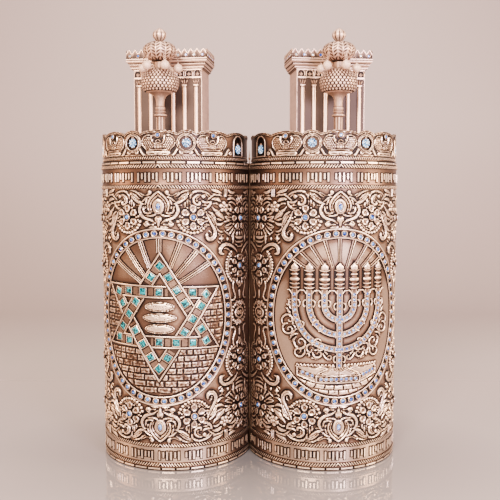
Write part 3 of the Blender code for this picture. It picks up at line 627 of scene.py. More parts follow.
def sheet(half, name, relief, edge, radius=RADIUS, back=None, replaces=()):
    """An embossed sheet as a mesh; with back it gets a smoother rear face and closed edges."""
    u, z, cells = trimmed(relief, edge)
    index = np.arange(u.size).reshape(u.shape)
    corners = [index[:-1, :-1], index[:-1, 1:], index[1:, 1:], index[1:, :-1]]
    faces = np.stack([corner[cells] for corner in corners], -1)
    points = on_curve(u, z, radius + relief.height, radius)
    cavity = relief.cavity().ravel()
    if back is not None:
        rear = on_curve(u, z, back + 0.5 * relief.height, radius)
        pairs = np.concatenate([faces[:, [i, (i + 1) % 4]] for i in range(4)])
        codes = pairs[:, 0] * u.size + pairs[:, 1]
        rim = pairs[~np.isin(codes, pairs[:, 1] * u.size + pairs[:, 0])]
        walls = np.stack([rim[:, 1], rim[:, 0], rim[:, 0] + u.size, rim[:, 1] + u.size], -1)
        faces = np.concatenate([faces, faces[:, ::-1] + u.size, walls])
        points = np.concatenate([points, rear])
        cavity = np.concatenate([cavity, 1.05 * PLAIN + 0.2 * relief.height.ravel()])
    used = np.unique(faces)
    number = np.zeros(len(points), int)
    number[used] = np.arange(used.size)
    half.add(name, points[used], number[faces].tolist(), cavity[used], replaces=replaces, outward=False)


# Repeated pieces

def repeat_tree():
    """Geometry nodes that set one piece at every point, or at even steps along each path."""
    tree = bpy.data.node_groups.new("set_pieces", "GeometryNodeTree")
    for name, way, kind in (("Places", "INPUT", "Geometry"), ("Piece", "INPUT", "Object"),
                            ("Finish", "INPUT", "Material"), ("Size", "INPUT", "Float"),
                            ("Step", "INPUT", "Float"), ("Along path", "INPUT", "Bool"),
                            ("Pieces", "OUTPUT", "Geometry")):
        tree.interface.new_socket(name, in_out=way, socket_type=f"NodeSocket{kind}")
    graph = Graph(tree)
    start = tree.nodes.new("NodeGroupInput")
    given = {socket.name: Signal(graph, socket) for socket in start.outputs if socket.name}

    def attribute(name, kind):
        return graph.node("GeometryNodeInputNamedAttribute", {"data_type": kind}, {"Name": name})

    curve = graph.node("GeometryNodeMeshToCurve", inputs={"Mesh": given["Places"]})
    even = graph.node("GeometryNodeResampleCurve", {"mode": "LENGTH"},
                      {"Curve": curve, "Length": given["Step"]})
    curve = graph.node("GeometryNodeStoreNamedAttribute", {"data_type": "FLOAT_VECTOR", "domain": "POINT"}, {
        "Geometry": even, "Name": "along", "Value": graph.node("GeometryNodeInputTangent")})
    evenly = graph.node("GeometryNodeCurveToPoints", {"mode": "EVALUATED"}, {"Curve": curve})
    places = graph.node("GeometryNodeSwitch", {"input_type": "GEOMETRY"},
                        {"Switch": given["Along path"], "False": given["Places"], "True": evenly})
    frame = graph.node("FunctionNodeAxesToRotation", {"primary_axis": "Z", "secondary_axis": "X"},
                       {"Primary Axis": attribute("facing", "FLOAT_VECTOR"),
                        "Secondary Axis": attribute("along", "FLOAT_VECTOR")})
    spin = graph.node("FunctionNodeAxisAngleToRotation",
                      inputs={"Axis": (0.0, 0.0, 1.0), "Angle": attribute("spin", "FLOAT")})
    turned_frame = graph.node("FunctionNodeRotateRotation", {"rotation_space": "LOCAL"},
                              {"Rotation": frame, "Rotate By": spin})
    piece = graph.node("GeometryNodeObjectInfo", inputs={"Object": given["Piece"]}, out="Geometry")
    scale = graph.node("ShaderNodeVectorMath", {"operation": "SCALE"},
                       {0: attribute("size", "FLOAT_VECTOR"), "Scale": given["Size"]})
    pieces = graph.node("GeometryNodeInstanceOnPoints", inputs={
        "Points": places, "Instance": piece, "Rotation": turned_frame, "Scale": scale})
    solid = graph.node("GeometryNodeRealizeInstances", inputs={"Geometry": pieces})
    done = graph.node("GeometryNodeSetMaterial", inputs={"Geometry": solid, "Material": given["Finish"]})
    graph.node("NodeGroupOutput", inputs={"Pieces": done})
    return tree


class Places:
    """Spots or paths in a half's plan where a piece is repeated, with the way each one faces."""

    def __init__(self):
        self.spots, self.edges = [], []

    def spot(self, point, facing, along=(1.0, 0.0, 0.0), spin=0.0, size=1.0):
        self.spots.append((point, facing, along, math.radians(spin), np.broadcast_to(size, 3)))

    def on_face(self, u, z, height=0.0, spin=0.0, size=1.0, radius=RADIUS):
        """A spot on the curved face; spin 0 lays the piece's x along the curve, to the right."""
        a = u / radius
        self.spot(on_curve(u, z, radius + height, radius)[0], (math.sin(a), -math.cos(a), 0.0),
                  (math.cos(a), math.sin(a), 0.0), spin, size)

    def path_on_face(self, path, height, spin=0.0, radius=RADIUS):
        first = len(self.spots)
        for u, z in path:
            self.on_face(u, z, height, spin, radius=radius)
        self.edges += [(i, i + 1) for i in range(first, len(self.spots) - 1)]

    def rope(self, z, end, height, lean, radius=RADIUS):
        """A rope's two halves, whose strands lean towards each other."""
        for side in (-1, 1):
            run = np.linspace(side * end, side * ROPE_MIDDLE, 40)[:: -side]
            self.path_on_face([(u, z) for u in run], height, -side * lean, radius)


def set_pieces(half, name, places, shape, finish="copper", size=1.0, step=None, replaces=()):
    """Repeats a shape with the set_pieces tree and keeps the result as one plain mesh."""
    points, facing, along, spin, sizes = (np.array(part) for part in zip(*places.spots))
    turn = np.array(half.place.to_3x3()).T
    mesh = bpy.data.meshes.new(name)
    mesh.from_pydata(half.to_world(points), places.edges if step else [], [])
    for field, values in (("facing", facing @ turn), ("along", along @ turn), ("size", sizes)):
        store(mesh, field, "FLOAT_VECTOR", values)
    store(mesh, "spin", "FLOAT", spin)
    holder = placed(f"{name}_{half.name}", mesh)
    setter = holder.modifiers.new("set_pieces", "NODES")
    setter.node_group = bpy.data.node_groups.get("set_pieces") or repeat_tree()
    given = {"Piece": shapes[shape], "Finish": finishes[finish], "Size": float(size),
             "Step": (step or 1.0) * MM, "Along path": bool(step)}
    for socket in setter.node_group.interface.items_tree:
        if socket.in_out == "INPUT" and socket.name in given:
            setter[socket.identifier] = given[socket.name]
    view = bpy.context.evaluated_depsgraph_get()
    made = bpy.data.meshes.new_from_object(holder.evaluated_get(view), depsgraph=view)
    holder.modifiers.clear()
    holder.data = made
    half.dress(holder, finish, replaces)


def set_stones(half, name, places, setting, crystal, finish, sizes, step=None, kinds=("settings", "crystals"),
               holder="copper"):
    """Settings and the stones in them, at the same places."""
    set_pieces(half, f"{name}_{kinds[0]}", places, setting, holder, sizes[0], step)
    set_pieces(half, f"{name}_{kinds[1]}", places, crystal, finish, sizes[1], step)


# Shapes that repeat, each in its own plan: x along, y across and z outward

def shape(name, points, faces, cavity=None, sharp=40.0):
    if cavity is None:
        # By default a piece is dark at its foot and light at its top: painted shade low down and a painted
        # highlight on top.
        heights = np.array(points)[:, 2]
        cavity = 0.9 - 0.9 * (heights - heights.min()) / np.ptp(heights)
    shapes[name] = placed(name, formed(name, np.array(points) * MM, faces, cavity, sharp=sharp))


def scale_shape(name, length, width, height, sides=8, squareness=0.75):
    """A low rounded mound, dark round its foot."""
    turn = math.tau * np.arange(sides) / sides
    outline = [(abs(c) ** squareness * math.copysign(1, c), abs(s) ** squareness * math.copysign(1, s))
               for c, s in zip(np.cos(turn), np.sin(turn))]
    levels = []
    for level, dark in enumerate((1.0, 0.45, 0.1)):
        share = 1 - (level / 3) ** 1.3
        z = height * (1 - share ** 2) ** 0.5 if level else -0.6
        levels.append((length / 2 * share, width / 2 * share, z, dark))
    points, faces, cavity = stack(outline, levels)
    faces[-1:] = [(2 * sides + i, 2 * sides + (i + 1) % sides, 3 * sides) for i in range(sides)]
    shape(name, points + [(0.0, 0.0, height)], faces, cavity + [0.0])


def brilliant(name, radius, height, sides=8):
    """A round cut crystal: girdle, crown facets and a flat table."""
    levels = ((0.96, -0.5, 0.0), (1.0, 0.0, 0.0), (0.80, 0.55 * height, 0.5), (0.52, height, 0.0))
    points = [(*polar(radius * share, 360.0 * (i + shift) / sides), z)
              for share, z, shift in levels for i in range(sides)]
    faces = net(2, sides, caps=False)
    for low in (sides, 2 * sides):
        for i in range(sides):
            j = (i + 1) % sides
            skew = (i, j) if low == sides else (j, i)
            faces += [(low + i, low + j, low + sides + skew[0]),
                      (low + skew[1], low + sides + j, low + sides + i)]
    faces += [tuple(range(sides)), tuple(range(3 * sides, 4 * sides))]
    shape(name, points, faces, 0.0, sharp=None)


def collar(name, inner, outer, height, sides=16):
    """A raised ring that holds a stone."""
    profile = [(outer, -0.8), (outer, height * 0.45), ((inner + outer) / 2 + 0.1, height),
               (inner, height * 0.75), (inner * 0.96, -0.8)]
    shape(name, *turned(profile, sides, hollow=True), np.repeat([1.0, 0.55, 0.0, 0.8, 1.0], sides))


def torus(name, radius, thick):
    profile = polar(thick, 72.0 * np.arange(5), (radius, 0.0))
    shape(name, *turned(profile, 12, hollow=True), 0.2, sharp=80.0)


def slab(name, length, width, height, inset, painted_shadow_skirt=0.9, top=0.03):
    """A flat bar with sloping edges and a dark line round its foot, a painted shadow with the patina that
    gathers there.
    """
    levels = ((-painted_shadow_skirt, -0.6, 1.0), (-painted_shadow_skirt, 0.05, 1.0), (0.0, 0.12, 1.0), (0.1, 0.55 * height, 0.45),
              (inset, height, top))
    levels = [(length / 2 - back, width / 2 - back, *rest) for back, *rest in levels]
    shape(name, *stack(SQUARE, levels), sharp=None)


def square_levels(name, levels, hollow=False):
    """A square piece from levels of (size, z, cavity)."""
    shape(name, *stack(SQUARE, [(size / 2, size / 2, *rest) for size, *rest in levels], hollow), sharp=None)


def block(x, y, width, height, rise):
    """A plain raised rectangle about x, y."""
    levels = [(width / 2, height / 2, z, dark) for z, dark in ((-0.4, 1.0), (rise, 0.1))]
    points, faces, cavity = stack(SQUARE, levels)
    return [(x + a, y + b, z) for a, b, z in points], faces, cavity


def bar(path, rise, sign=1, steps=3):
    """A rounded bar along a path of (x, y, half width), as one part of a fused piece."""
    path = smoothed([(sign * x, y, w) for x, y, w in path], steps)
    run = np.gradient(path[:, :2], axis=0)
    run /= np.linalg.norm(run, axis=1, keepdims=True)
    across = np.stack([-run[:, 1], run[:, 0]], -1)
    side = [(-1.35, -0.4, 1.0), (-0.95, 0.35 * rise, 0.75), (-0.55, 0.85 * rise, 0.1)]
    profile = side + [(0.0, rise, 0.0)] + mirrored(side)
    points = [(*(spot[:2] + out * share * spot[2]), z)
              for spot, out in zip(path, across) for share, z, _ in profile]
    return points, net(len(path), 7), [dark for *_, dark in profile] * len(path)


def fused(name, parts, sharp=60.0):
    shape(name, *joined(parts), sharp=sharp)


def spike(foot, tip, width, rise):
    """A ridged leaf from foot to tip."""
    foot, tip = np.array(foot), np.array(tip)
    run = tip - foot
    side = left_of(run) / np.linalg.norm(run) * width / 2
    middle = foot + 0.6 * run
    outline = [foot + side * 0.5, foot - side * 0.5, middle - side, tip, middle + side]
    points = [(*place, z) for z in (-0.4, 0.45 * rise) for place in outline] + [(*middle, rise)]
    faces = net(2, 5, caps=False) + [(5 + i, 5 + (i + 1) % 5, 10) for i in range(5)] + [(4, 3, 2, 1, 0)]
    return points, faces, [1.0] * 5 + [0.5] * 5 + [0.0]


def arch_part(radius, foot, width, rise):
    levels = [(-width / 2, -0.4, 1.0), (-width / 2, rise * 0.8, 0.3), (0.0, rise, 0.0)]
    levels += [(width / 2, rise * 0.8, 0.3), (width / 2, -0.4, 1.0)]
    points = [(*polar(radius + out, 18.0 * i, (0.0, -foot * (i in (0, 10)))), z)
              for i in range(11) for out, z, _ in levels]
    return points, net(11, 5), [dark for *_, dark in levels] * 11


def unit(side):
    run = side[1] - side[0]
    return run / np.linalg.norm(run)


def left_of(run):
    return np.array([-run[1], run[0]])


def lamp_shapes():
    """The lamp with its garland, the flame, the knuckle and the joint of the lampstand."""
    levels = [(-6.0, 4.6, 1.4, 0.6, 0.0)]
    for low, high, half_width, rise, sag in ((0.6, 3.2, 10.0, 2.8, 2.4), (7.4, 10.0, 9.7, 2.8, 2.4),
                                             (14.0, 21.0, 9.3, 3.6, 0.0), (24.4, 28.2, 7.0, 3.0, 0.4),
                                             (30.8, 33.2, 10.2, 3.0, 3.0)):
        levels.append((low - 0.9, 4.6, 1.9, 0.42, sag))
        for share in (0.06, 0.22, 0.5, 0.78, 0.94):
            swell = math.sin(math.pi * share) ** 0.5
            levels.append((low + (high - low) * share, half_width * (0.55 + 0.45 * swell),
                           1.0 + (rise - 1.0) * swell, 0.75 - 0.67 * swell, sag))
        levels.append((high + 0.9, 4.6, 1.9, 0.42, sag))
    turns = np.radians(np.linspace(-90, 90, 11))
    points = [(half_width * math.sin(a), y + sag * (half_width * math.sin(a) / 10.5) ** 2,
               (rise + 0.4) * math.cos(a) ** 0.6 - 0.4)
              for y, half_width, rise, _, sag in levels for a in turns]
    cavity = [max(dark, 0.8 * (abs(a) > 1.5)) for *_, dark, _ in levels for a in turns]
    handle = [(4.6, -8.4, 0.9), (6.6, -5.2, 1.3), (9.6, -2.0, 1.3), (13.4, -1.8, 1.3)]
    claw = [(5.0, 6.2, 0.8), (8.4, 5.8, 1.3), (10.5, 2.0, 1.5), (10.2, -2.6, 1.4), (7.8, -5.4, 1.2),
            (6.4, -3.4, 0.7)]
    cheek = [(7.4, -5.6, 0.8), (7.8, 0.0, 1.1), (7.4, 5.6, 0.8)]
    body = (points, net(len(levels), len(turns)), cavity)
    fused("lamp", [body] + [bar(handle, 2.4, sign) for sign in (-1, 1)])
    fused("knuckle", [bar(claw, 2.6, sign) for sign in (-1, 1)])
    fused("joint", [bar(cheek, 1.8, sign) for sign in (-1, 1)])
    drop = [(0.0, 9.6), (1.2, 6.8), (3.4, 4.4), (6.4, 1.6), (7.4, -1.4), (6.2, -4.4), (3.2, -5.8),
            (0.7, -5.4), (0.0, -3.6)]
    drop += [(-x, y) for x, y in drop[-2:0:-1]]
    levels = [(1.16, 1.16, -0.4, 1.0), (1.0, 1.0, 0.6, 0.7), (0.84, 0.84, 1.8, 0.05), (0.4, 0.4, 2.4, 0.0)]
    points, faces, cavity = stack(drop, levels)
    shape("flame", [(x, y + 6.0, z) for x, y, z in points], faces, cavity, 60.0)


def make_shapes():
    fused("strand", [bar([(-3.5, 0, 0.8), (-2.6, 0, 1.05), (2.6, 0, 1.05), (3.5, 0, 0.8)], 1.8, steps=1)])
    slab("dash", 22.4, 3.1, 0.9, 0.4, painted_shadow_skirt=0.3)
    slab("tall_stroke", 3.2, 15.6, 1.7, 0.4, painted_shadow_skirt=1.8, top=0.0)
    slab("short_stroke", 3.2, 10.4, 1.7, 0.4, painted_shadow_skirt=1.8, top=0.0)
    slab("pad", 9.6, 13.4, 0.6, 0.3, painted_shadow_skirt=0.7, top=0.36)
    slab("gable_slope", 9.4, 1.5, 0.9, 0.3, painted_shadow_skirt=0.0)
    collar("round_setting", 3.0, 4.7, 1.9)
    collar("wide_setting", 3.5, 5.9, 1.6)
    collar("small_setting", 2.8, 3.9, 0.9, 10)
    brilliant("crystal", 3.05, 2.0)
    brilliant("small_crystal", 2.9, 1.5)
    brilliant("drop_stone", 1.42, 0.9, 6)
    square_levels("square_frame", [(16.0, -0.6, 1.0), (16.0, 0.1, 1.0), (14.4, 0.15, 1.0), (14.2, 1.52, 0.2),
                                   (13.0, 1.9, 0.0), (11.6, 1.14, 0.8), (11.368, -0.6, 1.0)], hollow=True)
    square_levels("square_stone", [(11.8, -0.6, 0.0), (11.8, 0.4, 0.0), (9.204, 1.12, 0.0),
                                   (5.664, 1.6, 0.0)])
    lamp_shapes()
    shape("drop", *turned([(1.0, -1.5), (6.0, -1.0), (7.9, 0.0), (7.6, 0.9), (5.0, 1.9), (1.5, 2.3)], 24))
    torus("loop", 1.5, 0.4)
    torus("link", 1.7, 0.42)
    scale_shape("scale", 6.7, 6.6, 1.6)
    ball = [(7.75 * math.cos(a), 7.75 * math.sin(a)) for a in np.linspace(-1.5, 1.5, 13)]
    shape("bell", *turned(ball + [(1.3, 7.9), (1.3, 8.8), (0.4, 8.9)], 24), 0.2, 70.0)
    leaves = [spike((shift * 0.35, -4.6), (shift, 5.8 - abs(shift) * 0.12), 3.3, 3.6)
              for shift in (-5.8, 0.0, 5.8)]
    fused("capital", leaves + [block(0.0, -5.6, 8.6, 1.5, 3.4), block(0.0, 7.0, 15.4, 1.1, 2.6)], None)
    sprig = [spike((0.0, -4.6), (shift, 3.4 - abs(shift) * 0.7), 2.4, 1.6) for shift in (-3.4, 0.0, 3.4)]
    sprig += [spike((7.9, 5.4), (7.9, 1.6), 1.6, 1.3)]
    fused("frieze_arch", [arch_part(6.6, 4.4, 1.3, 1.6)] + sprig, None)


# The carved field: one quarter of its ornament, up and to the right of the medallion's centre

def cartouche(field):
    """The drop-shaped cartouche on the centre line, with the scrolls that hold it."""
    for side in (-1, 1):
        field.strokes([
            (1.4, [(9, 438.6, 0.8), (15, 438.2, 1.1), (19, 438.8, 1.2)]),
            (1, [(3, 433.6, 0.7), (10, 433.8, 0.9), (17, 433.4, 0.6)])
        ], side)
        field.dome((side * 22, 439.4), 4.9, 2.3, pit=0.35)
        field.strokes([
            (1.7, [(15.5, 443.6, 0.6), (19, 444.2, 1.2), (23.5, 442.5, 1.6)]),
            (1.7, [(4, 457.8, 1), (7.8, 454.8, 1.6), (15.5, 453.2, 1.6), (24.8, 454.8, 0.7)]),
            (2, [(12, 461, 0.6), (14.8, 458.6, 1.3), (19.4, 457.8, 1.5), (24.8, 459.4, 1.5),
              (27, 464, 1.3), (27, 469.5, 0.6)]),
            (2.7, [(31, 473, 1.6), (33.6, 467.5, 2.9), (34.2, 461.5, 3.1), (31.6, 455.6, 3.1),
              (26.5, 450.6, 3), (19.4, 447.6, 2.6), (11.7, 445.4, 1.9), (5, 440.5, 0.8)], 1)
        ], side)
        field.panel([(side * 23 + 2 * x, 467.8 + 2.6 * y) for x, y in SQUARE], 1.7)
        field.strokes([
            (1.5, [(19.6, 484, 0.5), (21.6, 479, 1.7), (23.4, 473.4, 0.9)]),
            (1.9, [(10.5, 486.7, 0.9), (17, 486, 1.5), (22.5, 483.6, 1.7), (27, 480, 1.5),
              (30, 477.8, 0.8)]),
            (2.2, [(15.4, 497, 0.8), (15.2, 494.6, 3.4), (15.6, 491.8, 2), (19, 489.8, 1.2),
              (25.5, 489, 1), (31, 491.8, 1), (37, 494.8, 0.5)]),
            (2.4, [(0, 495.4, 1.6), (5, 492, 1.8), (10.4, 487, 1.9), (15.4, 480.4, 1.9),
              (18, 473.6, 1.9), (18, 467.4, 1.8), (15.8, 461.6, 1)]),
            (1.8, [(0, 489.4, 1.2), (5.4, 485.2, 1.3), (10.4, 479.8, 1.3), (13.6, 473.6, 1.3),
              (13.8, 466.8, 1.2), (11.8, 460.8, 0.7)])
        ], side)
    field.dome((0, 470), (10.8, 13.8), 2, power=0.35)
    field.dome((0, 447.4), (6.2, 6.6), 2.3)
    field.strokes([
        (2.9, [(0, 452.6, 1), (0, 447, 1.4), (0, 440, 0.9)]),
        (2, [(0, 442.5, 3.4), (0, 438, 1.8), (0, 433.4, 0.5)])
    ])


def leaf_sweep(field):
    """The fluted leaf that sweeps from the cartouche to the upper rope, with its fingers."""
    field.strokes([
        (2.6, [(27.5, 474.2, 1), (36, 477.6, 3.1), (43.2, 482.4, 3.4), (51.5, 488, 1)], 1),
        (2.2, [(35.2, 482.8, 0.7), (40.2, 486.9, 1.4), (47.8, 491.8, 1.7), (58.6, 494.8, 0.6)]),
        (1.9, [(37, 480.6, 0.6), (44, 486, 1.3), (51, 490.6, 1.3), (57, 492.4, 0.5)]),
        (2.1, [(29.2, 486.6, 0.7), (33.5, 489, 1.2), (38.6, 493.6, 1.5), (47.8, 496.8, 1.5),
          (57.8, 496.6, 0.6)]),
        (1.6, [(41, 471.2, 0.5), (34, 472.2, 1.1), (25.5, 474.6, 0.6)]),
        (1.9, [(47, 477, 0.9), (46.2, 472.6, 1.5), (47, 468.2, 0.6)]),
        (1.9, [(51.4, 482.4, 0.8), (50.8, 477.6, 1.5), (51.8, 471.4, 0.6)]),
        (1.5, [(55.6, 479.4, 0.5), (55, 476, 1), (56.2, 472.6, 0.5)])
    ])


def hooks(field):
    """The two nested hooks above the near flower."""
    field.strokes([
        (2.6, [(55.4, 483, 0.9), (55.8, 488, 1.9), (58.4, 492.4, 2.2), (63.2, 495.3, 2.1),
          (71, 496.5, 2), (78.6, 495.6, 1.9), (86.3, 493, 1.7), (92.5, 488.6, 0.8)]),
        (2.7, [(75, 489.6, 0.8), (70.5, 490, 1.5), (65.6, 488, 2), (61.9, 484.2, 2.2),
          (61.2, 479.2, 2.3), (63.4, 475.2, 2.3), (67.8, 472.9, 2.2), (72, 473.9, 2.5),
          (72.6, 477.2, 1.7)]),
        (1.7, [(72.4, 487.2, 0.6), (68.2, 485.2, 1.1), (66.4, 481.7, 1.2), (67.6, 478.2, 0.8)])
    ])
    field.dome((79.4, 487.2), (3.5, 3.4), 2, pit=0.5)
    field.strokes([
        (1.6, [(79.6, 491, 0.6), (84.5, 489.8, 1.2), (88.4, 486.8, 0.6)]),
        (2, [(86.4, 480.4, 0.6), (90.6, 484, 1.5), (96.8, 488.4, 1.5), (102.5, 490.2, 0.6)]),
        (2.2, [(76, 480.4, 0.6), (79.6, 477.6, 1.9), (85, 476.6, 2.2), (91.5, 477.6, 1)]),
        (2.5, [(93.4, 478.6, 1), (91.6, 472.6, 2.4), (86.4, 467.6, 2.6), (79, 461.4, 0.6)], 1),
        (1.9, [(77.4, 471.4, 0.6), (82.4, 471.8, 1.5), (87, 471.2, 1)]),
        (1.7, [(77.6, 466.6, 0.5), (81.6, 466.2, 1.4), (85.5, 464.8, 0.8)])
    ])


def near_flower(field):
    """The six-petalled flower under the hooks, with its scalloped collar."""
    centre = (60.5, 451)
    field.beads(centre, 27.6, 196, 130, 2.9, 6)
    field.arc(centre, 23, 12, 200, 120, 0.7, 1)
    field.flower(centre, 15, (5.6, 6.8), 6.4, 1.7)
    for spot in ((37.5, 452.6), (38.4, 446.4), (82.4, 444.2), (84.8, 449.2)):
        field.dome(spot, (2.1, 1.7), 1.4)
    field.strokes([
        (1.9, [(78.5, 444, 0.8), (83.5, 443.6, 1.8), (89, 445, 0.7)]),
        (1.6, [(80, 437.6, 0.7), (86, 438, 1.4), (90.5, 436, 0.6)])
    ])


def long_hook(field):
    """The long hook that falls beside the oval and curls at its foot."""
    field.strokes([
        (3, [(84.2, 460.4, 0.7), (86.6, 453.6, 1.5), (91, 444, 2.1), (96.6, 435.4, 2.7),
          (100.8, 427.6, 3.3), (101.4, 420, 4), (96.8, 413.6, 4.4), (90, 412.2, 4.2), (85.4, 416.6, 3.1),
          (85.8, 422.2, 1.3)], 1),
        (1.3, [(90.2, 426.6, 0.6), (93.6, 423.4, 1), (93.6, 419.6, 0.7)]),
        (2, [(88.6, 461, 0.7), (94.8, 457.2, 2), (100.6, 450.6, 2), (103.4, 444.4, 0.8)]),
        (2, [(93.6, 455, 0.6), (99, 448.6, 1.5), (102.6, 441.2, 1.4), (105.6, 434.6, 0.6)]),
        (2, [(88.4, 455.6, 0.5), (94.2, 449.8, 1.3), (98, 443.2, 1.3), (102, 435.6, 0.6)]),
        (2, [(103.5, 434, 0.6), (107.4, 428.4, 1.3), (113.2, 424.8, 1.5), (119.6, 425.8, 0.8)]),
        (2, [(96.6, 468.6, 0.7), (100.4, 463.2, 1.6), (104.8, 459.6, 0.8)])
    ])


def corner_leaves(field):
    """Stalk, leaves, small flower and bead between the near and the far flower."""
    for shift in (-2.4, 0, 2.4):
        field.strokes([
            (2, [(124.4 + shift, 500.5, 1.2), (124.4 + shift, 494, 1.35),
              (124.4 + shift * 0.9, 486.4, 1)])
        ])
    field.strokes([
        (2.2, [(94.5, 500, 0.8), (100, 497.6, 3), (108, 495.4, 3.1), (116.6, 492.4, 0.8)], 1),
        (1.8, [(96, 491.6, 0.6), (103, 490.4, 1.6), (112, 489.4, 1.6), (118, 486.4, 0.6)]),
        (2.4, [(95.6, 482, 0.7), (101.6, 482.8, 3), (108.6, 481.4, 3.2), (114.4, 477.4, 0.8)], 1),
        (1.8, [(97.4, 474.6, 0.6), (103.4, 475, 1.7), (110, 471.6, 0.7)]),
        (2.2, [(131, 499.4, 0.8), (135.2, 495.6, 3), (141.4, 493.6, 3), (149.4, 494.6, 0.8)], 1),
        (1.6, [(129.6, 489.4, 0.6), (136.6, 488.4, 1.5), (143.6, 489.4, 0.6)]),
        (2.3, [(128, 481, 0.7), (134, 483.4, 2.6), (141.4, 484, 2.8), (149.4, 480.2, 0.8)], 1),
        (1.9, [(131, 475, 0.6), (137.6, 477, 1.6), (145.6, 474.6, 1.5), (151, 470, 0.6)]),
        (2.3, [(151, 489, 0.9), (156, 488.8, 1.6), (158.6, 485, 1.9), (157, 480.8, 1.7),
          (152.4, 478.8, 1.2), (149.4, 480.4, 0.8)]),
        (1.8, [(153.6, 474.6, 0.6), (160, 476.4, 1.6), (163.5, 482, 1.6), (163.5, 490.6, 0.8)]),
        (1.9, [(96.8, 466.4, 0.8), (104.6, 462.2, 1.8), (111.6, 460.6, 1.2)]),
        (2.6, [(101.6, 461.6, 0.8), (108.4, 456.4, 4.6), (115, 451.8, 4.6), (121, 446.4, 0.9)], 1.5),
        (1.9, [(104, 448.6, 0.7), (110.6, 446.2, 1.9), (117.6, 445, 0.8)]),
        (2.3, [(99.6, 442.6, 0.8), (106, 438.2, 2.4), (113, 437.6, 2.6), (120, 441.2, 0.8)]),
        (1.8, [(123.4, 459.6, 0.6), (128.6, 457.4, 1.7), (133, 452.6, 0.7)]),
        (1.8, [(122.6, 452, 0.6), (127, 447.6, 1.6), (134, 445.4, 0.7)]),
        (1.6, [(121.6, 433.6, 0.6), (127, 431, 1.4), (133.6, 432.6, 0.7)]),
        (1.6, [(108.6, 421.4, 0.6), (114, 419.2, 1.3), (121, 419.8, 0.6)]),
        (1.7, [(122.6, 425.2, 0.6), (128.6, 421.6, 1.5), (134.6, 416.6, 0.7)]),
        (1.4, [(107.4, 408.4, 0.6), (110.4, 405.6, 1.2), (113.6, 404.6, 0.6)]),
        (2.2, [(143, 417.6, 1.2), (143.6, 411, 2.5), (143, 403.4, 1)]),
        (2, [(149.4, 415, 0.8), (155, 412.6, 2.4), (162, 412, 3.4)]),
        (1.8, [(148.6, 407.4, 0.7), (155, 404.8, 1.6), (163, 404.6, 2)])
    ])
    for i in range(5):
        field.dome(polar(6.4, 90 + 72 * i, (121, 468.6)), (3.9, 4.3), 2.3, 72 * i, pit=0.3)
    field.dome((121, 468.6), 2.6, 2.9)
    field.dome((137, 463.4), (3.1, 4), 2.4)
    field.dome((129.2, 411.4), (2.6, 3.2), 2.2)
    field.panel([(115.6, 405.6), (122, 412.4), (115.6, 419.2), (109.2, 412.4)], 1.2)
    field.dome((115.6, 412.4), 3.2, 2.4)


def far_flower(field):
    """The flower near the edge, with the fan of stamens on its inner side."""
    centre = (163, 448)
    field.flower(centre, 16.3, (5.2, 6.4), 6.4, 2, start=0)
    for angles, rise, spoke in ((range(140, 241, 12), 1.8, ((24.6, 0.7), (31, 1.35), (37.5, 1.7), (41, 0.8))),
                                ((254, 270, 286), 1.7, ((25, 0.8), (29, 1.7), (34, 0.8))),
                                ((75, 105), 1.7, ((24, 0.8), (30, 1.8), (36, 0.8)))):
        for degrees in angles:
            field.stroke([(*polar(reach, degrees, centre), w) for reach, w in spoke], rise)


def side_flower(field):
    """The hook, the ring of beads and the flower halfway down the edge."""
    centre = (160, 361.6)
    field.strokes([
        (2.9, [(156, 385.4, 0.7), (150, 391.6, 1.9), (142.5, 396.6, 2.7), (131, 401.2, 3.3),
          (119.6, 400.6, 3.6), (112.6, 394, 3.6), (113.4, 386.6, 3), (120.5, 384.6, 1.4)], 1),
        (1.6, [(121.6, 394.6, 0.6), (128, 394, 1.4), (135.6, 389.8, 0.7)]),
        (1.8, [(163, 396, 1.6), (157, 396.6, 1.4), (151.4, 400.2, 0.7)])
    ])
    field.beads(centre, 33.6, 130, 102, 2.7, 5.6)
    field.arc(centre, 29, 12, 128, 106, 0.7, 1)
    field.flower(centre, 15.2, (4.9, 6.1), 6.2, 2)
    for degrees in (150, 180, 210):
        field.dome(polar(24.6, degrees, centre), (2.6, 2.1), 1.8, degrees)
    field.strokes([
        (1.8, [(140, 339.4, 0.7), (146, 338, 1.7), (152.6, 334.6, 1.2)])
    ])


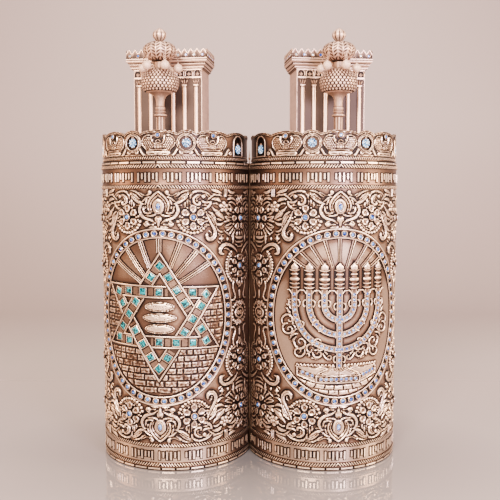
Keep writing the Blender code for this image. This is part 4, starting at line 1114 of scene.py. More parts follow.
def edge_scrolls(field):
    """The thin double curve beside the oval, and the shell at mid height."""
    field.strokes([
        (1.8, [(149.4, 338.6, 0.8), (145.2, 333, 1.6), (143.4, 325, 1.8), (145.6, 317, 1.8),
          (149, 310, 1.8), (149.4, 304, 1.7), (146, 300.2, 2.1), (140.4, 299.6, 1.9)]),
        (1.7, [(155.4, 338.4, 0.8), (154.6, 331.4, 1.3), (157.6, 326.4, 1.4), (163.6, 322.6, 1.4)]),
        (1.7, [(152, 296.4, 0.7), (154.6, 291, 1.5), (158.6, 286.4, 1.4), (163.6, 285.4, 1.2)]),
        (1.8, [(163, 340.6, 1.6), (158.6, 342.6, 1.6), (154.6, 346, 0.7)]),
        (1.8, [(163, 331, 2.8), (160.4, 326.6, 1.8), (161.4, 320.6, 0.8)]),
        (1.8, [(163, 315, 2.2), (163, 308, 2.4), (163, 301, 1)]),
        (1.8, [(152, 297.6, 0.6), (156.4, 295, 1.5), (159.4, 289.6, 0.8)]),
        (1.8, [(145.6, 293.6, 0.7), (150.4, 292.4, 1.4), (154, 288.6, 0.7)]),
        (1.8, [(163, 296.4, 1.4), (160.6, 292.6, 1.4), (163, 288.4, 0.8)]),
        (2, [(163.6, 283.6, 1.4), (156.6, 282.6, 1.9), (151.6, 278.4, 2.1), (150.4, MID, 2.2)])
    ])
    field.dome((159.6, MID), (4.6, 5.2), 1.8, pit=0.6)
    for spot in ((140.8, MID), (141.8, 280.8), (144.8, 286.4), (150.2, 289.4)):
        field.dome(spot, (3, 2.9), 2.2)


def carved_field():
    """The relief outside the oval: one quarter, turned over to the other three."""
    fold, spare = 163.0, 20
    columns = round(FIELD_EDGE / FACE_STEP)
    rows = round((FIELD_TOP - MID) / FACE_STEP)
    quarter = Relief(-spare * FIELD_EDGE / columns, FIELD_EDGE, columns + spare, MID, FIELD_TOP, rows)
    for lay in (edge_scrolls, side_flower, far_flower, corner_leaves, long_hook, near_flower,
                hooks, leaf_sweep, cartouche):
        lay(quarter)
    beyond = quarter.u > fold
    quarter.height[:, beyond] = quarter.height[:, np.searchsorted(quarter.u, 2 * fold - quarter.u[beyond])]
    right = quarter.height[:, spare:]
    upper = np.hstack([right[:, :0:-1], right])
    whole = Relief(-FIELD_EDGE, FIELD_EDGE, 2 * columns, 2 * MID - FIELD_TOP, FIELD_TOP, 2 * rows)
    across = np.abs(whole.u)
    whole.height = np.vstack([upper[:0:-1], upper]) * np.interp(across, (140.0, 190.0), (1.15, 0.72))
    whole.height *= np.interp(across, (196.0, 205.0), (1.0, 0.5))
    # Painted shade, eased: the ground is lighter towards the field's upright edges, tempering the painted
    # hinge shade there, and lighter where it lies open, so that it darkens near the forms as their painted
    # shade.
    whole.stain_and_painted_shade -= np.interp(across, (118.0, 150.0, 205.0), (0.0, 0.12, 0.16))
    whole.stain_and_painted_shade -= 0.09 * np.clip(1 - whole.blurred(3.2 / FACE_STEP) / 0.35, 0, 1)
    whole.trace()
    return whole


# Medallions

def star_depth(u, z, tips):
    """Distance inwards from the nearest side of one of the star's two triangles."""
    depth = np.full(np.shape(u), np.inf)
    for (u0, z0), (u1, z1) in zip(tips, tips[1:] + tips[:1]):
        long = math.hypot(u1 - u0, z1 - z0)
        depth = np.minimum(depth, ((u1 - u0) * (z - MID - z0) - (z1 - z0) * (u - u0)) / long)
    return depth


def off_lampstand(u, z):
    """Distance from the lampstand's arms, stem and lamps."""
    across = np.abs(u)
    off = np.maximum(across - 6.0, np.maximum(187.0 - z, z - 325.0))
    for number in (1, 2, 3):
        arm = np.abs(np.hypot(u, np.minimum(z - HUB, 0.0)) - ARM_STEP * number) - 6.0
        off = np.minimum(off, np.maximum(arm, z - 325.0))
    lamp = np.abs(np.mod(across + ARM_STEP / 2, ARM_STEP) - ARM_STEP / 2) - 9.0
    lamp = np.where(across > 3.5 * ARM_STEP, across - 3 * ARM_STEP - 9.0, lamp)
    off = np.minimum(off, np.maximum(lamp, np.maximum(318.0 - z, z - 359.0)))
    flame = lamp + 1.6 + np.clip(z - 364.0, 0, 10) * 0.7
    return np.minimum(off, np.maximum(flame, np.maximum(358.0 - z, z - 374.0)))


def oval_edge(u, z, grow=0.0):
    """Distance outside the oval through the stones, widened by grow."""
    radii = [r + grow for r in OVAL]
    share = np.hypot(u / radii[0], (z - MID) / radii[1])
    slope = np.hypot(u / radii[0] ** 2, (z - MID) / radii[1] ** 2) / np.maximum(share, 1e-6)
    return (share - 1) / np.maximum(slope, 1e-6)


def medallion_ground():
    across, upright = (r + 1.0 for r in OVAL)
    counts = [round(2 * r / MEDALLION_STEP) for r in (across, upright)]
    return Relief(-across, across, counts[0], MID - upright, MID + upright, counts[1])


def dark_towards_edge(ground):
    return np.exp(np.minimum(oval_edge(*ground.grid, -9.0), 0) / 5.0)


def hem(ground):
    """Grooves the forms, and levels the ground where it passes under the oval ring."""
    ground.trace()
    ground.height *= np.clip(-oval_edge(*ground.grid, -11.4) / 1.2, 0, 1)
    return ground


def star_medallion():
    """Brick courses below and plain ground above, with three stippled strokes in the star's heart."""
    ground = medallion_ground()
    chance = np.random.default_rng(7)
    course = 11.3
    for row in range(-13, 4):
        z = MID + course * row + 1.0
        u = -OVAL[0] - chance.uniform(0, 22)
        while u < OVAL[0]:
            long = chance.choice((13.0, 18.0, 22.0, 26.0)) + chance.uniform(-1.5, 1.5)
            left, right, low, high = chance.uniform(0.3, 1.3, 4)
            ground.panel([(u + left, z + low), (u + long - right, z + 1.6 - low),
                          (u + long - left, z + course - high), (u + right, z + course - 1.6 + high)],
                         chance.uniform(0.7, 1.3), 1.5, 0.9)
            u += long
    u, z = ground.grid
    rough = chance.standard_normal(ground.height.shape)
    depths = [star_depth(u, z, tips) for tips in STAR_TIPS]
    off = np.minimum(*(np.maximum(-depth, depth - STAR_BAND) for depth in depths))
    middle = depths[0] + depths[1] > 2 * STAR_BAND
    inside = np.maximum(*depths) > 0
    open_ground = z > MID + 52.0
    ground.height *= np.clip((off - STAR_GAP) / 1.1, 0, 1) * ~inside
    brick = ground.height > 0.3
    ground.height += np.where(brick, 0.55 * ground.blurred(1.3, rough) + 0.04 * rough, 0.0)
    ground.stain_and_painted_shade += np.where(brick, 0.13 - 0.12 * ground.blurred(2.6, rough), -0.06)
    # Painted shade: the ground darkens close beside the star's bands, more widely in the open ground above,
    # and towards the oval's edge there.
    ground.stain_and_painted_shade += 0.75 * np.exp(-np.maximum(off, 0) / 1.8)
    ground.stain_and_painted_shade += 0.08 * np.exp(-np.maximum(off, 0) / 8.0) * (open_ground & ~inside)
    ground.stain_and_painted_shade += 0.10 * dark_towards_edge(ground) * open_ground
    for half_length, half_width, height in ((27.0, 8.4, 19.5), (31.0, 8.0, 0.0), (27.0, 8.4, -19.5)):
        place = (0.0, MID + height)
        inner_length, inner_width = half_length - 3.6, half_width - 2.4
        ground.dome(place, (half_length, half_width), 1.8, power=0.25)
        ground.dome(place, (inner_length, inner_width), 2.0, power=0.15)
        line = np.abs(np.hypot(u / inner_length, (z - place[1]) / inner_width) - 1.0)
        ground.stain_and_painted_shade += 0.25 * np.exp(-(line / 0.08) ** 2)
    specks = (chance.uniform(0, 1, ground.height.shape) > 0.96) & middle & (ground.height > 1.0)
    ground.height -= 1.0 * specks
    ground.stain_and_painted_shade += 0.3 * specks
    return hem(ground)


# The curled leaves under the arms on one side
SCROLLS = (
    [(103, 261.5, 0.8), (105, 268, 1.5), (100.5, 275, 1.8), (92.5, 278.4, 1.8), (85.5, 275, 1.6),
      (83.5, 269.4, 1.3), (87.4, 265.6, 1.2), (92, 268.4, 0.8)],
    [(94, 262, 1), (99.6, 260.4, 1.9), (102.6, 254.2, 1.8), (100, 247.4, 1.7), (93.2, 244.2, 1.7),
      (85.6, 246.6, 1.6), (83.4, 252.4, 1.5), (87.4, 256.8, 1.3), (92, 254.6, 1.2), (91.6, 250.6, 0.7)],
    [(85, 262.4, 0.6), (79.4, 258.8, 1.3), (76.6, 252.4, 0.7)],
    [(87.6, 239.6, 0.7), (83.4, 246.4, 1.4), (78.4, 251.4, 1.2), (74.4, 253.6, 0.6)],
    [(88.4, 235.2, 0.7), (84.6, 240.6, 1.4), (79.6, 244.6, 1.4), (73.4, 245, 0.6)],
    [(84, 230.4, 0.6), (80.8, 235.4, 1.3), (76, 239.8, 0.7)],
    [(79, 237.2, 0.9), (80.4, 230, 1.8), (77.2, 223.2, 2.1), (70.4, 219.4, 2.2), (62.6, 221.6, 2),
      (59.4, 228.2, 1.7), (62.4, 234.8, 1.5), (68.4, 236.6, 1.4), (72, 232.2, 1.3), (69, 228.4, 0.7)],
    [(60.6, 219, 0.8), (61, 211, 1.6), (66.4, 205.6, 1.8), (73.4, 205.2, 1.7), (78.4, 210.2, 1.6),
      (77, 216.4, 1.5), (70.8, 219, 1.3), (67.2, 214.6, 1.2), (70.6, 211.6, 0.7)],
    [(46.6, 227.2, 0.8), (52.6, 227.4, 1.6), (57.2, 222.2, 1.8), (55.6, 215.8, 1.6),
      (50.4, 213.6, 1.4), (48, 217.6, 0.9)],
    [(58, 208.6, 0.6), (54.4, 211.6, 1.2), (52.2, 207.4, 1.3), (55, 205.2, 0.6)],
    [(46.6, 221.4, 0.6), (41.6, 217.4, 1.5), (35.8, 221, 0.8)],
    [(46.8, 213, 0.9), (44, 206.8, 1.7), (37.6, 204.4, 1.7), (32.4, 207.4, 1.5),
      (31.8, 212.6, 1.3), (36.4, 214.4, 1.1), (39, 210.8, 0.6)],
    [(48.6, 203.2, 0.6), (43, 202.6, 1), (37.6, 201, 0.5)],
    [(28.6, 213.4, 0.7), (26.4, 207.4, 1.5), (21.6, 202.4, 1.6), (15.6, 201.4, 1.4),
      (13.6, 205.6, 1.3), (17, 208.8, 1.1), (19.8, 206, 0.6)],
    [(26.4, 217, 0.6), (22.6, 212.2, 1.2), (19.6, 211.2, 0.5)],
    [(87, 281, 0.6), (91.6, 284.4, 1.4), (94.6, 289.6, 0.7)],
    [(86.2, 289, 0.6), (90, 294.2, 1.4), (95.4, 297, 0.7)],
    [(86.4, 297.6, 0.6), (89.4, 302.6, 1.3), (93, 305.6, 0.6)],
    [(97, 290.6, 0.6), (92.4, 288, 1.1), (88.4, 283.4, 0.6)]
)

# The foot's edges and mouldings on one side
FOOT_LINES = (
    (2.3, [(74.4, 186.6, 1.4), (74.4, 172.4, 1.6), (38.6, 159.6, 1.7), (0, 159.4, 1.6)]),
    (2.1, [(74, 180.8, 0.9), (41.2, 170.6, 1.1), (0, 171.8, 1.2)]),
    (2.6, [(39.6, 171.4, 1.9), (39.6, 160, 1.9)]),
    (2.0, [(75, 186.4, 1), (40, 187, 0.9), (8, 188.6, 0.9)]),
    (2.4, [(34, 173.6, 0.9), (24, 178, 1.2), (7, 186, 0.8)]),
    (2.1, [(38, 175.4, 0.8), (28, 180.4, 1), (14, 187.4, 0.7)]),
    (2.3, [(7.6, 181.6, 0.7), (5.6, 185, 1.3), (2.6, 187.4, 0.8)]),
    (2.3, [(4, 179.6, 0.7), (3.2, 183, 1.2), (1, 186.4, 0.8)]),
)


def lamp_medallion():
    """Curled leaves under the arms, the stepped foot and the paving."""
    ground = medallion_ground()
    u, z = ground.grid
    off = np.maximum(off_lampstand(u, z), 0)
    # Painted shade: the ground darkens round the lampstand and towards the oval's upper edge, and is lighter
    # away from them.
    ground.stain_and_painted_shade += 0.55 * np.exp(-(off / 2.0) ** 2) + 0.16 * np.exp(-off / 7.0) - 0.15
    ground.stain_and_painted_shade += 0.30 * dark_towards_edge(ground) * np.clip((z - MID - 45.0) / 40.0, 0, 1)
    for side in (-1, 1):
        ground.strokes([(2.4, path) for path in SCROLLS], side, moat=0.8)
        for i in range(11):
            a = side * (11.0 + 6.3 * i)
            ground.stroke([(a - 2.6, 187.4, 0.8), (a, 191.4, 1.5), (a + 2.8, 188.6, 0.9)], 1.9, moat=0.6)
        foot = ((75, 187), (75, 170.5), (38, 157.5), (0, 157.5), (0, 187))
        ground.panel([(side * a, b) for a, b in foot][::-side], 1.2, 1.0)
        ground.strokes(FOOT_LINES, side, steps=1, moat=0.7)
    channel = np.maximum(np.abs(z - 165.6) - 4.0, np.abs(u) - 36.5)
    slope = 165.9 + 0.315 * (np.abs(u) - 41.0) + 4.2
    side_channel = np.maximum(np.abs(z - slope) - 3.4, np.abs(np.abs(u) - 57.0) - 14.5)
    sunk = np.minimum(channel, side_channel)
    ground.height = np.where(sunk < 0, np.minimum(ground.height, 0.7), ground.height)
    ground.stain_and_painted_shade += 0.55 * np.exp(-(sunk / 1.1) ** 2)
    paving(ground)
    return hem(ground)


def paving(ground):
    """Rows of rough stones below the foot, splayed as they come forward."""
    chance = np.random.default_rng(3)
    for number, (top, low) in enumerate(((154.6, 146.4), (145.4, 136.0))):
        spread_top, spread_low = 0.94 + 0.10 * number, 1.04 + 0.10 * number
        for i in range(-6, 6):
            a, b = ((i + 0.5 * (number == 0) + share) * 17.0 for share in (0.0, 1.0))
            jolt = chance.uniform(-0.7, 0.7, 4)
            corners = ((a, 0.7, spread_low, low), (b, -0.7, spread_low, low), (b, -0.7, spread_top, top),
                       (a, 0.7, spread_top, top))
            ground.panel([(side * spread + gap, z + 10.5 * (side / 75.0) ** 2 + shift)
                          for (side, gap, spread, z), shift in zip(corners, jolt)],
                         chance.uniform(0.9, 1.5), 1.6, 0.8)
    rough = chance.standard_normal(ground.height.shape)
    low = np.clip((157.0 - ground.z) / 2.0, 0, 1)[:, None]
    ground.height += np.where(ground.height > 0.3, ground.blurred(1.3, rough), 0.0) * low


# Raised figures on the medallions

def oval_ring(half):
    """The band of stones round the medallion, with a dark line along each side: a flat dark strip at the
    band's foot, painted shadow.
    """
    outer = [(11.4, -1.0, 1.0), (11.4, 0.15, 1.0), (9.6, 0.2, 1.0), (9.3, 1.6, 0.45), (8.8, 2.1, 0.08),
             (7.6, 2.1, 0.12), (6.6, 1.5, 0.45), (5.0, 1.1, 0.6), (3.2, 0.6, 0.85), (1.4, 0.4, 0.95)]
    profile = [(-offset, *rest) for offset, *rest in outer]
    profile += [(offset - 1.1 * (offset > 7), *rest) for offset, *rest in outer[::-1]]
    carry(half, "oval_ring", ring((0.0, MID), OVAL, 144), profile)
    stones = Places()
    for u, z in polar(OVAL, 90.0 + 360.0 * (np.arange(OVAL_STONES) + 0.5) / OVAL_STONES, (0.0, MID)):
        stones.on_face(u, z, 0.9)
    set_stones(half, "oval", stones, "wide_setting", "crystal", "crystal", (1.0, 1.20))


def fan(half, name, heart, angles, ribs, off, taper):
    """Rays from a heart out to the oval; ribs are (offset, half width, shade) across a ray."""
    wide = max(abs(middle) + half_width for middle, half_width, _ in ribs) + 1.5
    profile = [(-wide, -0.8, 1.0), (-wide, 0.2, 1.0)]
    for middle, half_width, shade in ribs:
        rising = ((half_width + 0.2, 0.25, 1.0), (half_width - 0.2, 1.4, shade + 0.1))
        profile += [(middle - offset, *rest) for offset, *rest in rising]
        profile.append((middle, 1.7, shade))
        profile += [(middle + offset, *rest) for offset, *rest in rising[::-1]]
    profile += [(wide, 0.2, 1.0), (wide, -0.8, 1.0)]
    for number, degrees in enumerate(angles, 1):
        out = polar(1.0, 90.0 - degrees)
        far = 40.0
        while oval_edge(*(heart + far * out), -9.0) < 0:
            far += 0.5
        near = far
        while near > 8.0 and off(*(heart + near * out)) > 0.5:
            near -= 0.5
        reach = np.linspace(near, far, 9)
        carry(half, f"{name}_{number}", heart + reach[:, None] * out,
              mirrored(profile) if degrees > 0 else profile, False, taper + (1 - taper) * reach / far)


def star(half):
    """The two woven bands, with square stones and plain pads along them, and the rays above them."""
    sides = [[(np.array(tips[i]), np.array(tips[(i + 1) % 3])) for i in range(3)] for tips in STAR_TIPS]
    # The rim starts with a flat dark strip at the band's foot: painted shadow beside the band.
    rim = [(-STAR_GAP, -1.0, 1.0), (-STAR_GAP, 0.3, 1.0), (-0.15, 0.3, 1.0), (0.0, 2.1, 0.45),
           (0.6, 2.6, 0.15),
           (2.2, 2.6, 0.15), (2.8, 2.1, 0.5), (3.2, 0.9, 1.0), (4.1, 0.9, 0.9), (4.6, 0.9, 0.62)]
    shift, rise, dark = np.array(rim + [(STAR_BAND + offset, *rest) for offset, *rest in mirrored(rim)]).T
    stations = 16
    parts, stones, pads = [], Places(), Places()
    for own, other in ((0, 1), (1, 0)):
        for number, (a, b) in enumerate(sides[own]):
            run = unit((a, b))
            inward = left_of(run)
            mitres = [math.tan(0.5 * math.acos(-float(np.dot(run, unit(sides[own][(number + turn) % 3])))))
                      for turn in (-1, 1)]
            first = shift / mitres[0]
            last = np.linalg.norm(b - a) - shift / mitres[1]
            over = next(side for side in sides[other] if np.dot(run, left_of(unit(side))) > 0.1)
            normal = left_of(unit(over))
            place = ((a - over[0])[None, :] + shift[:, None] * inward) @ normal
            near, far = ((depth - place) / np.dot(run, normal) for depth in (-STAR_GAP, STAR_BAND + STAR_GAP))
            for start, stop in ((first, near), (far, last)):
                along = start + (stop - start) * np.linspace(0, 1, stations)[:, None]
                flat = a + shift[None, :, None] * inward + along[..., None] * run
                parts.append((on_curve(flat[..., 0], MID + flat[..., 1], RADIUS + rise),
                              net(stations, len(shift)), np.tile(dark, stations)))
            middle = [end + STAR_BAND / 2 * (inward - way * run / mitre)
                      for end, way, mitre in zip((a, b), (-1, 1), mitres)]
            spin = math.degrees(math.atan2(run[1], run[0]))
            for shares, spots in (((0.172, 0.5, 0.665, 0.828), stones),
                                  ((0.086, 0.240, 0.426, 0.583, 0.748, 0.914), pads)):
                for share in shares:
                    u, z = middle[0] + (middle[1] - middle[0]) * share
                    short = spots is pads and 0.2 < share < 0.5
                    spots.on_face(u, MID + z, 0.9, spin, (0.45 if short else 1.0, 1.0, 1.0))
            u, z = middle[0] * (0.93 if number else 0.955)
            stones.on_face(u, MID + z, 0.9, spin / 4 if number else 45.0)
    half.add("star_bands", *joined(parts))
    set_stones(half, "star", stones, "square_frame", "square_stone", "turquoise", (1.0, 1.0),
               kinds=("frames", "stones"))
    set_pieces(half, "star_pads", pads, "pad")
    fan(half, "star_ray", np.array([1.0, MID + 41.5]), (-56.5, -38.6, -20.5, 0, 21.5, 40.5, 58.0),
        [(4.4, 0.9, 0.12), (0.6, 0.9, 0.0), (-3.4, 0.9, 0.25)],
        lambda u, z: min(-star_depth(u, z, tips) for tips in STAR_TIPS), 0.6)


def lampstand(half):
    """Arms and stem set with crystals, the knuckles on them, and the seven lamps with their flames."""
    # Each arm's profile starts with a flat dark strip at its foot: a painted shadow round the arm.
    side = [(6.4, -1.0, 1.0), (6.4, 0.1, 1.0), (5.3, 0.15, 1.0), (5.1, 1.6, 0.35), (4.6, 2.2, 0.08),
            (4.0, 2.2, 0.12), (3.2, 2.0, 0.36)]
    profile = side + mirrored(side)
    crystals, knuckles, joints, foot, lamps, flames = (Places() for _ in range(6))
    for number, angles in enumerate(((), (45.0,), (25.0, 63.0)), 1):
        reach = ARM_STEP * number
        bend = ring((0.0, HUB), reach, 12 + 10 * number, 180.0, 180.0)
        arm, beaded = (np.vstack([[(-reach, top)], bend, [(reach, top)]]) for top in (324.0, 315.5))
        carry(half, f"lamp_arm_{number}", arm, profile, False)
        crystals.path_on_face(beaded, 2.2)
        for degrees in angles:
            for way in (-1, 1):
                u, z = polar((way * reach, -reach), degrees, (0.0, HUB))
                knuckles.on_face(u, z, 1.0, way * degrees)
        for way in (-1, 1):
            knuckles.on_face(way * reach, 300.0, 1.0)
        joints.on_face(0.0, HUB - reach, 1.6)
    stem = np.array([(0.0, 186.0), (0.0, 240.0), (0.0, 324.0)])
    carry(half, "lamp_stem", stem, [(offset, rise + 0.35, dark) for offset, rise, dark in profile], False)
    crystals.path_on_face([(0.0, 190.5), (0.0, 315.5)], 2.55)
    set_stones(half, "lampstand", crystals, "small_setting", "small_crystal", "pale_crystal",
               (1.0, 0.98), 8.95)
    for z in (295.0, 201.5):
        knuckles.on_face(0.0, z, 1.3)
    for i in range(8):
        foot.on_face(-31.5 + 9.0 * i, 165.6, 0.8)
    for way, count, pitch in ((-1, 3, 8.6), (1, 4, 6.8)):
        for i in range(count):
            u = 47.0 + pitch * i
            foot.on_face(way * u, 170.1 + 0.315 * (u - 41.0), 0.8)
    for lamp in range(-3, 4):
        lamps.on_face(lamp * ARM_STEP, 325.0, 0.3)
        flames.on_face(lamp * ARM_STEP, 358.0, 0.4)
    set_pieces(half, "knuckles", knuckles, "knuckle")
    set_pieces(half, "arm_joints", joints, "joint")
    set_stones(half, "foot", foot, "small_setting", "small_crystal", "pale_crystal", (1.05, 1.05))
    set_pieces(half, "lamps", lamps, "lamp")
    set_pieces(half, "flames", flames, "flame")
    fan(half, "lamp_ray", np.array([0.0, 325.0]), (-57, -46, -33, -17, 0, 17, 33, 46, 57),
        [(2.6, 0.9, 0.1), (-1.6, 1.5, 0.3)],
        lambda u, z: min(float(off_lampstand(np.array(u), np.array(z))) + 0.3, z - 364.0), 0.45)


# The case

def upright(half, name, outline, low, high, finish="copper", cavity=PLAIN, bevel=0.0, replaces=()):
    """A closed outline of (towards the hinge, forward) pairs, carried up from low to high."""
    plan = [(-half.side * q, -p) for q, p in outline]
    made = half.add(name, *stack(plan, [(1.0, 1.0, z, cavity) for z in (low, high)]), finish, replaces)
    if bevel:
        soft = made.modifiers.new("soft_edges", "BEVEL")
        soft.width, soft.segments, soft.limit_method = bevel * MM, 2, "ANGLE"


def edge_angles(radius):
    """Angles from the middle at which a shell of this radius ends: free edge, then hinge."""
    return math.acos(SETBACK / radius), math.acos(HINGE_CLEAR / radius)


def arc(radius, first, last, count):
    return [(radius * math.sin(a), radius * math.cos(a)) for a in np.linspace(first, last, count)]


def case_body(half):
    """The plain shell with its bevelled pocket at the hinge, its floor and its roof."""
    free, hinge = edge_angles(CORE)
    reach = math.acos(SETBACK / INNER)
    inner = arc(INNER, reach, -reach, 61)
    outer = arc(CORE, -free, hinge, 73) + [(RADIUS - HINGE_CLEAR, SETBACK)]
    upright(half, "wall", outer + inner, 0.0, BODY_HEIGHT, "inside", bevel=0.4,
            replaces=[f"case_{half.name}"])
    plate = [(q * 1.003, p * 1.003 if p > 1 else p) for q, p in inner]
    upright(half, "floor", plate, 0.0, PLATE, "inside")
    upright(half, "roof", plate, BODY_HEIGHT - PLATE, BODY_HEIGHT, "inside")


def bands(half):
    """Plain mouldings above and below the field, and the strips along the upright edges."""
    def seat(z, reach, rise, depth):
        return [(z - reach, rise, 0.4), (z - reach + 0.2, depth, 1.0), (z + reach - 0.2, depth, 1.0),
                (z + reach, rise, 0.4)]

    ropes = [seat(z, 3.2, 0.8, 0.0) for z in ROPES]
    low_dash, high_dash = (seat(z, 2.9, 0.7, 0.1) for z, _ in DASH_ROWS)
    foot = [(0.0, 0.5, 0.6), *low_dash, *ropes[0], (14.9, 0.3, 0.6), (15.8, 0.15, 0.27), (41.4, 0.15, 0.27),
            (42.3, 0.3, 0.6), *ropes[1], (49.5, 0.6, 0.4), (49.6, -1.5, 1.0)]
    top = [(499.6, -1.5, 1.0), (499.8, 0.8, 0.4), *ropes[2], (507.6, 0.3, 0.6), (508.4, 0.15, 0.39),
           (534.8, 0.15, 0.39), (535.6, 0.3, 0.6), *ropes[3], *high_dash, (549.0, 0.6, 0.5)]
    steps = np.linspace(-FIELD_EDGE, FIELD_EDGE, 121)
    for name, levels in (("base_moulding", foot), ("top_moulding", top)):
        levels += [(levels[-1][0], -2.0, 1.0), (levels[0][0], -2.0, 1.0)]
        z, rise, cavity = np.array(levels).T
        half.add(name, on_curve(steps[:, None], z, RADIUS + rise), net(len(steps), len(z)),
                 np.tile(cavity, len(steps)))
    free, hinge = edge_angles(RADIUS)
    for name, first, last in (("free_edge", -free, -FIELD_ANGLE + 0.004),
                              ("hinge_edge", FIELD_ANGLE - 0.004, hinge)):
        outline = arc(RADIUS + 0.25, first, last, 6) + arc(CORE - 0.6, last, first, 6)
        upright(half, name, [(q, max(p, SETBACK)) for q, p in outline], 0.0, BODY_HEIGHT, cavity=0.3)


def repeats_on_bands(half):
    """Ropes, dashes and the rows of plain strokes."""
    ropes, dashes, tall, short = (Places() for _ in range(4))
    reach = (FIELD_ANGLE - math.radians(0.6)) * RADIUS
    for z in ROPES:
        ropes.rope(z, reach, 0.5, 46.0)
    set_pieces(half, "ropes", ropes, "strand", step=4.88)
    for z, starts in DASH_ROWS:
        for i in range(-9, 9):
            u = starts[half.side > 0] + DASH_PITCH * (i + 0.5)
            if abs(u) < reach - DASH_PITCH / 2 + 6:
                dashes.on_face(-half.side * u, z, 0.1)
    set_pieces(half, "dashes", dashes, "dash")
    beat = (1, 1, 0, 1, 0, 0, 1, None, 1, 0, 1, 1, 0, 1, None, 0, 1, 1, 0, 1, None)
    for row, z in enumerate(SCRIPT_ROWS):
        u, number = -reach + 6.0, 5 * row + (half.side > 0) * 3
        while u < reach - 6.0:
            kind = beat[number % len(beat)]
            if kind is not None:
                (tall if kind else short).on_face(u, z + (0.0 if kind else 1.6), 0.15)
            u += {None: 6.0, 1: 7.2, 0: 6.4}[kind]
            number += 1
    set_pieces(half, "tall_strokes", tall, "tall_stroke")
    set_pieces(half, "short_strokes", short, "short_stroke")


def carved_face(half, relief):
    sheet(half, "carved_field", relief, -oval_edge(*relief.grid, 4.0))
    inner = star_medallion() if half.side < 0 else lamp_medallion()
    sheet(half, "medallion", inner, oval_edge(*inner.grid, -4.0))
    flowers, drops = Places(), Places()
    for upward in (-1, 1):
        for side in (-1, 1):
            for u, z in ((60.5, 451.0), (163.0, 448.0), (160.0, 361.6)):
                flowers.on_face(side * u, MID + upward * (z - MID), 1.6)
        drops.on_face(0.0, MID + upward * (469.6 - MID), 1.9, size=(0.80, 1.28, 0.6))
    set_stones(half, "flower", flowers, "round_setting", "crystal", "crystal", (1.48, 1.56))
    set_stones(half, "drop", drops, "round_setting", "crystal", "pale_crystal", (1.75, 1.55))


# Crown band

def crown_top(u):
    """Height of the band's scalloped edge."""
    notches = [math.radians(a) * CROWN_RADIUS for a in ARCH_ENDS] + [CROWN_EDGE]
    stops = np.array([-stop for stop in reversed(notches)] + notches)
    at = np.clip(np.searchsorted(stops, u, side="right") - 1, 0, len(stops) - 2)
    wide = stops[at + 1] - stops[at]
    share = np.clip((u - stops[at]) / wide, 0, 1)
    rise = (CROWN_TOP - CROWN_NOTCH) * np.minimum(wide / 30.0, 1.0)
    return CROWN_NOTCH + rise * np.sin(math.pi * share) ** 0.6


# Half a crown: the outline of its lobe, then its strokes as (rise, path)
LOBE = ((1.5, 566), (20.4, 566), (25.6, 571), (29, 577.2), (29.4, 583.6), (25.4, 589.2), (17.6, 592.8),
        (11.2, 592), (7.6, 583), (1.5, 579))
CROWN_LINES = (
    (1.9, [(20.6, 567.6, 0.7), (26.6, 573.6, 0.95), (29.2, 580.4, 0.95), (27, 587.6, 0.95),
      (20.6, 592.4, 0.95), (12.6, 592.4, 0.8)]),
    (2.7, [(11.4, 592.4, 1), (11.4, 586.6, 1.4), (9.4, 580.8, 1.3), (5.4, 577.6, 1.1),
      (0, 576.6, 1)]),
    (2.3, [(4.4, 580.4, 0.6), (3.4, 583.4, 0.9), (0, 585, 0.9)]),
    (2.3, [(21, 566.6, 0.9), (11, 567.4, 1), (0, 567.6, 1)]),
    (2.6, [(38.4, 569.4, 0.9), (34.8, 570, 1.7), (31.4, 565.8, 2), (27.8, 560.2, 2),
      (22.4, 557.9, 1.7), (12, 559, 1.5), (0, 560, 1.5)]),
    (1.9, [(3.6, 571.4, 0.6), (5.6, 574, 0.9), (3.6, 576, 0.6)]),
)


def small_crown(band, centre):
    """One embossed crown: ribbon foot, two netted lobes, the arch between them and the curls beside it."""
    def shifted(path, side=1):
        return [(centre + side * u, *rest) for u, *rest in path]

    for side in (-1, 1):
        band.panel(shifted(LOBE, side)[::side], 0.9, 1.6, 1.6)
    chance = np.random.default_rng(17)
    for row in range(8):
        for i in range(-7, 8):
            u, z = 3.7 * (i + 0.5 * (row % 2)), 569.4 + 3.1 * row
            if 8.5 < abs(u) < 27.0 - 0.9 * abs(row - 3.5) and z < 592.6 - 0.012 * u * u:
                band.dome((centre + u, z), (1.6, 1.35), chance.uniform(1.3, 1.7), moat=0.35)
    band.panel(shifted(((-22.0, 557.6), (22.0, 557.6), (20.6, 566.2), (-20.6, 566.2))), 1.5, 1.0)
    band.panel(shifted(((-7.4, 566.0), (7.4, 566.0), (6.4, 581.0), (-6.4, 581.0))), 1.1, 1.0)
    for side in (-1, 1):
        for rise, path in CROWN_LINES:
            band.stroke(shifted(path, side), rise)
        band.dome((centre + side * 40.2, 563.6), 4.0, 2.2, pit=0.95)
    u, z = band.grid
    u = u - centre
    netted = (np.abs(u) > 8.0) & (np.abs(u) < 29.0) & (z > 567.5) & (z < 592.5)
    band.stain_and_painted_shade += 0.10 * netted
    for spot_u, spot_z, reach in ((0.0, 588.0, 2.2), (-5.6, 586.4, 1.8), (5.6, 586.4, 1.8)):
        band.stain_and_painted_shade += 0.7 * np.exp(-(np.hypot(u - spot_u, z - spot_z) / reach) ** 2)


def rounded(distance, near, far, rise):
    """A rounded moulding that runs from near to far along a distance."""
    share = (distance - (near + far) / 2) / ((far - near) / 2)
    return rise * np.clip(1 - share ** 2, 0, 1) ** 0.4


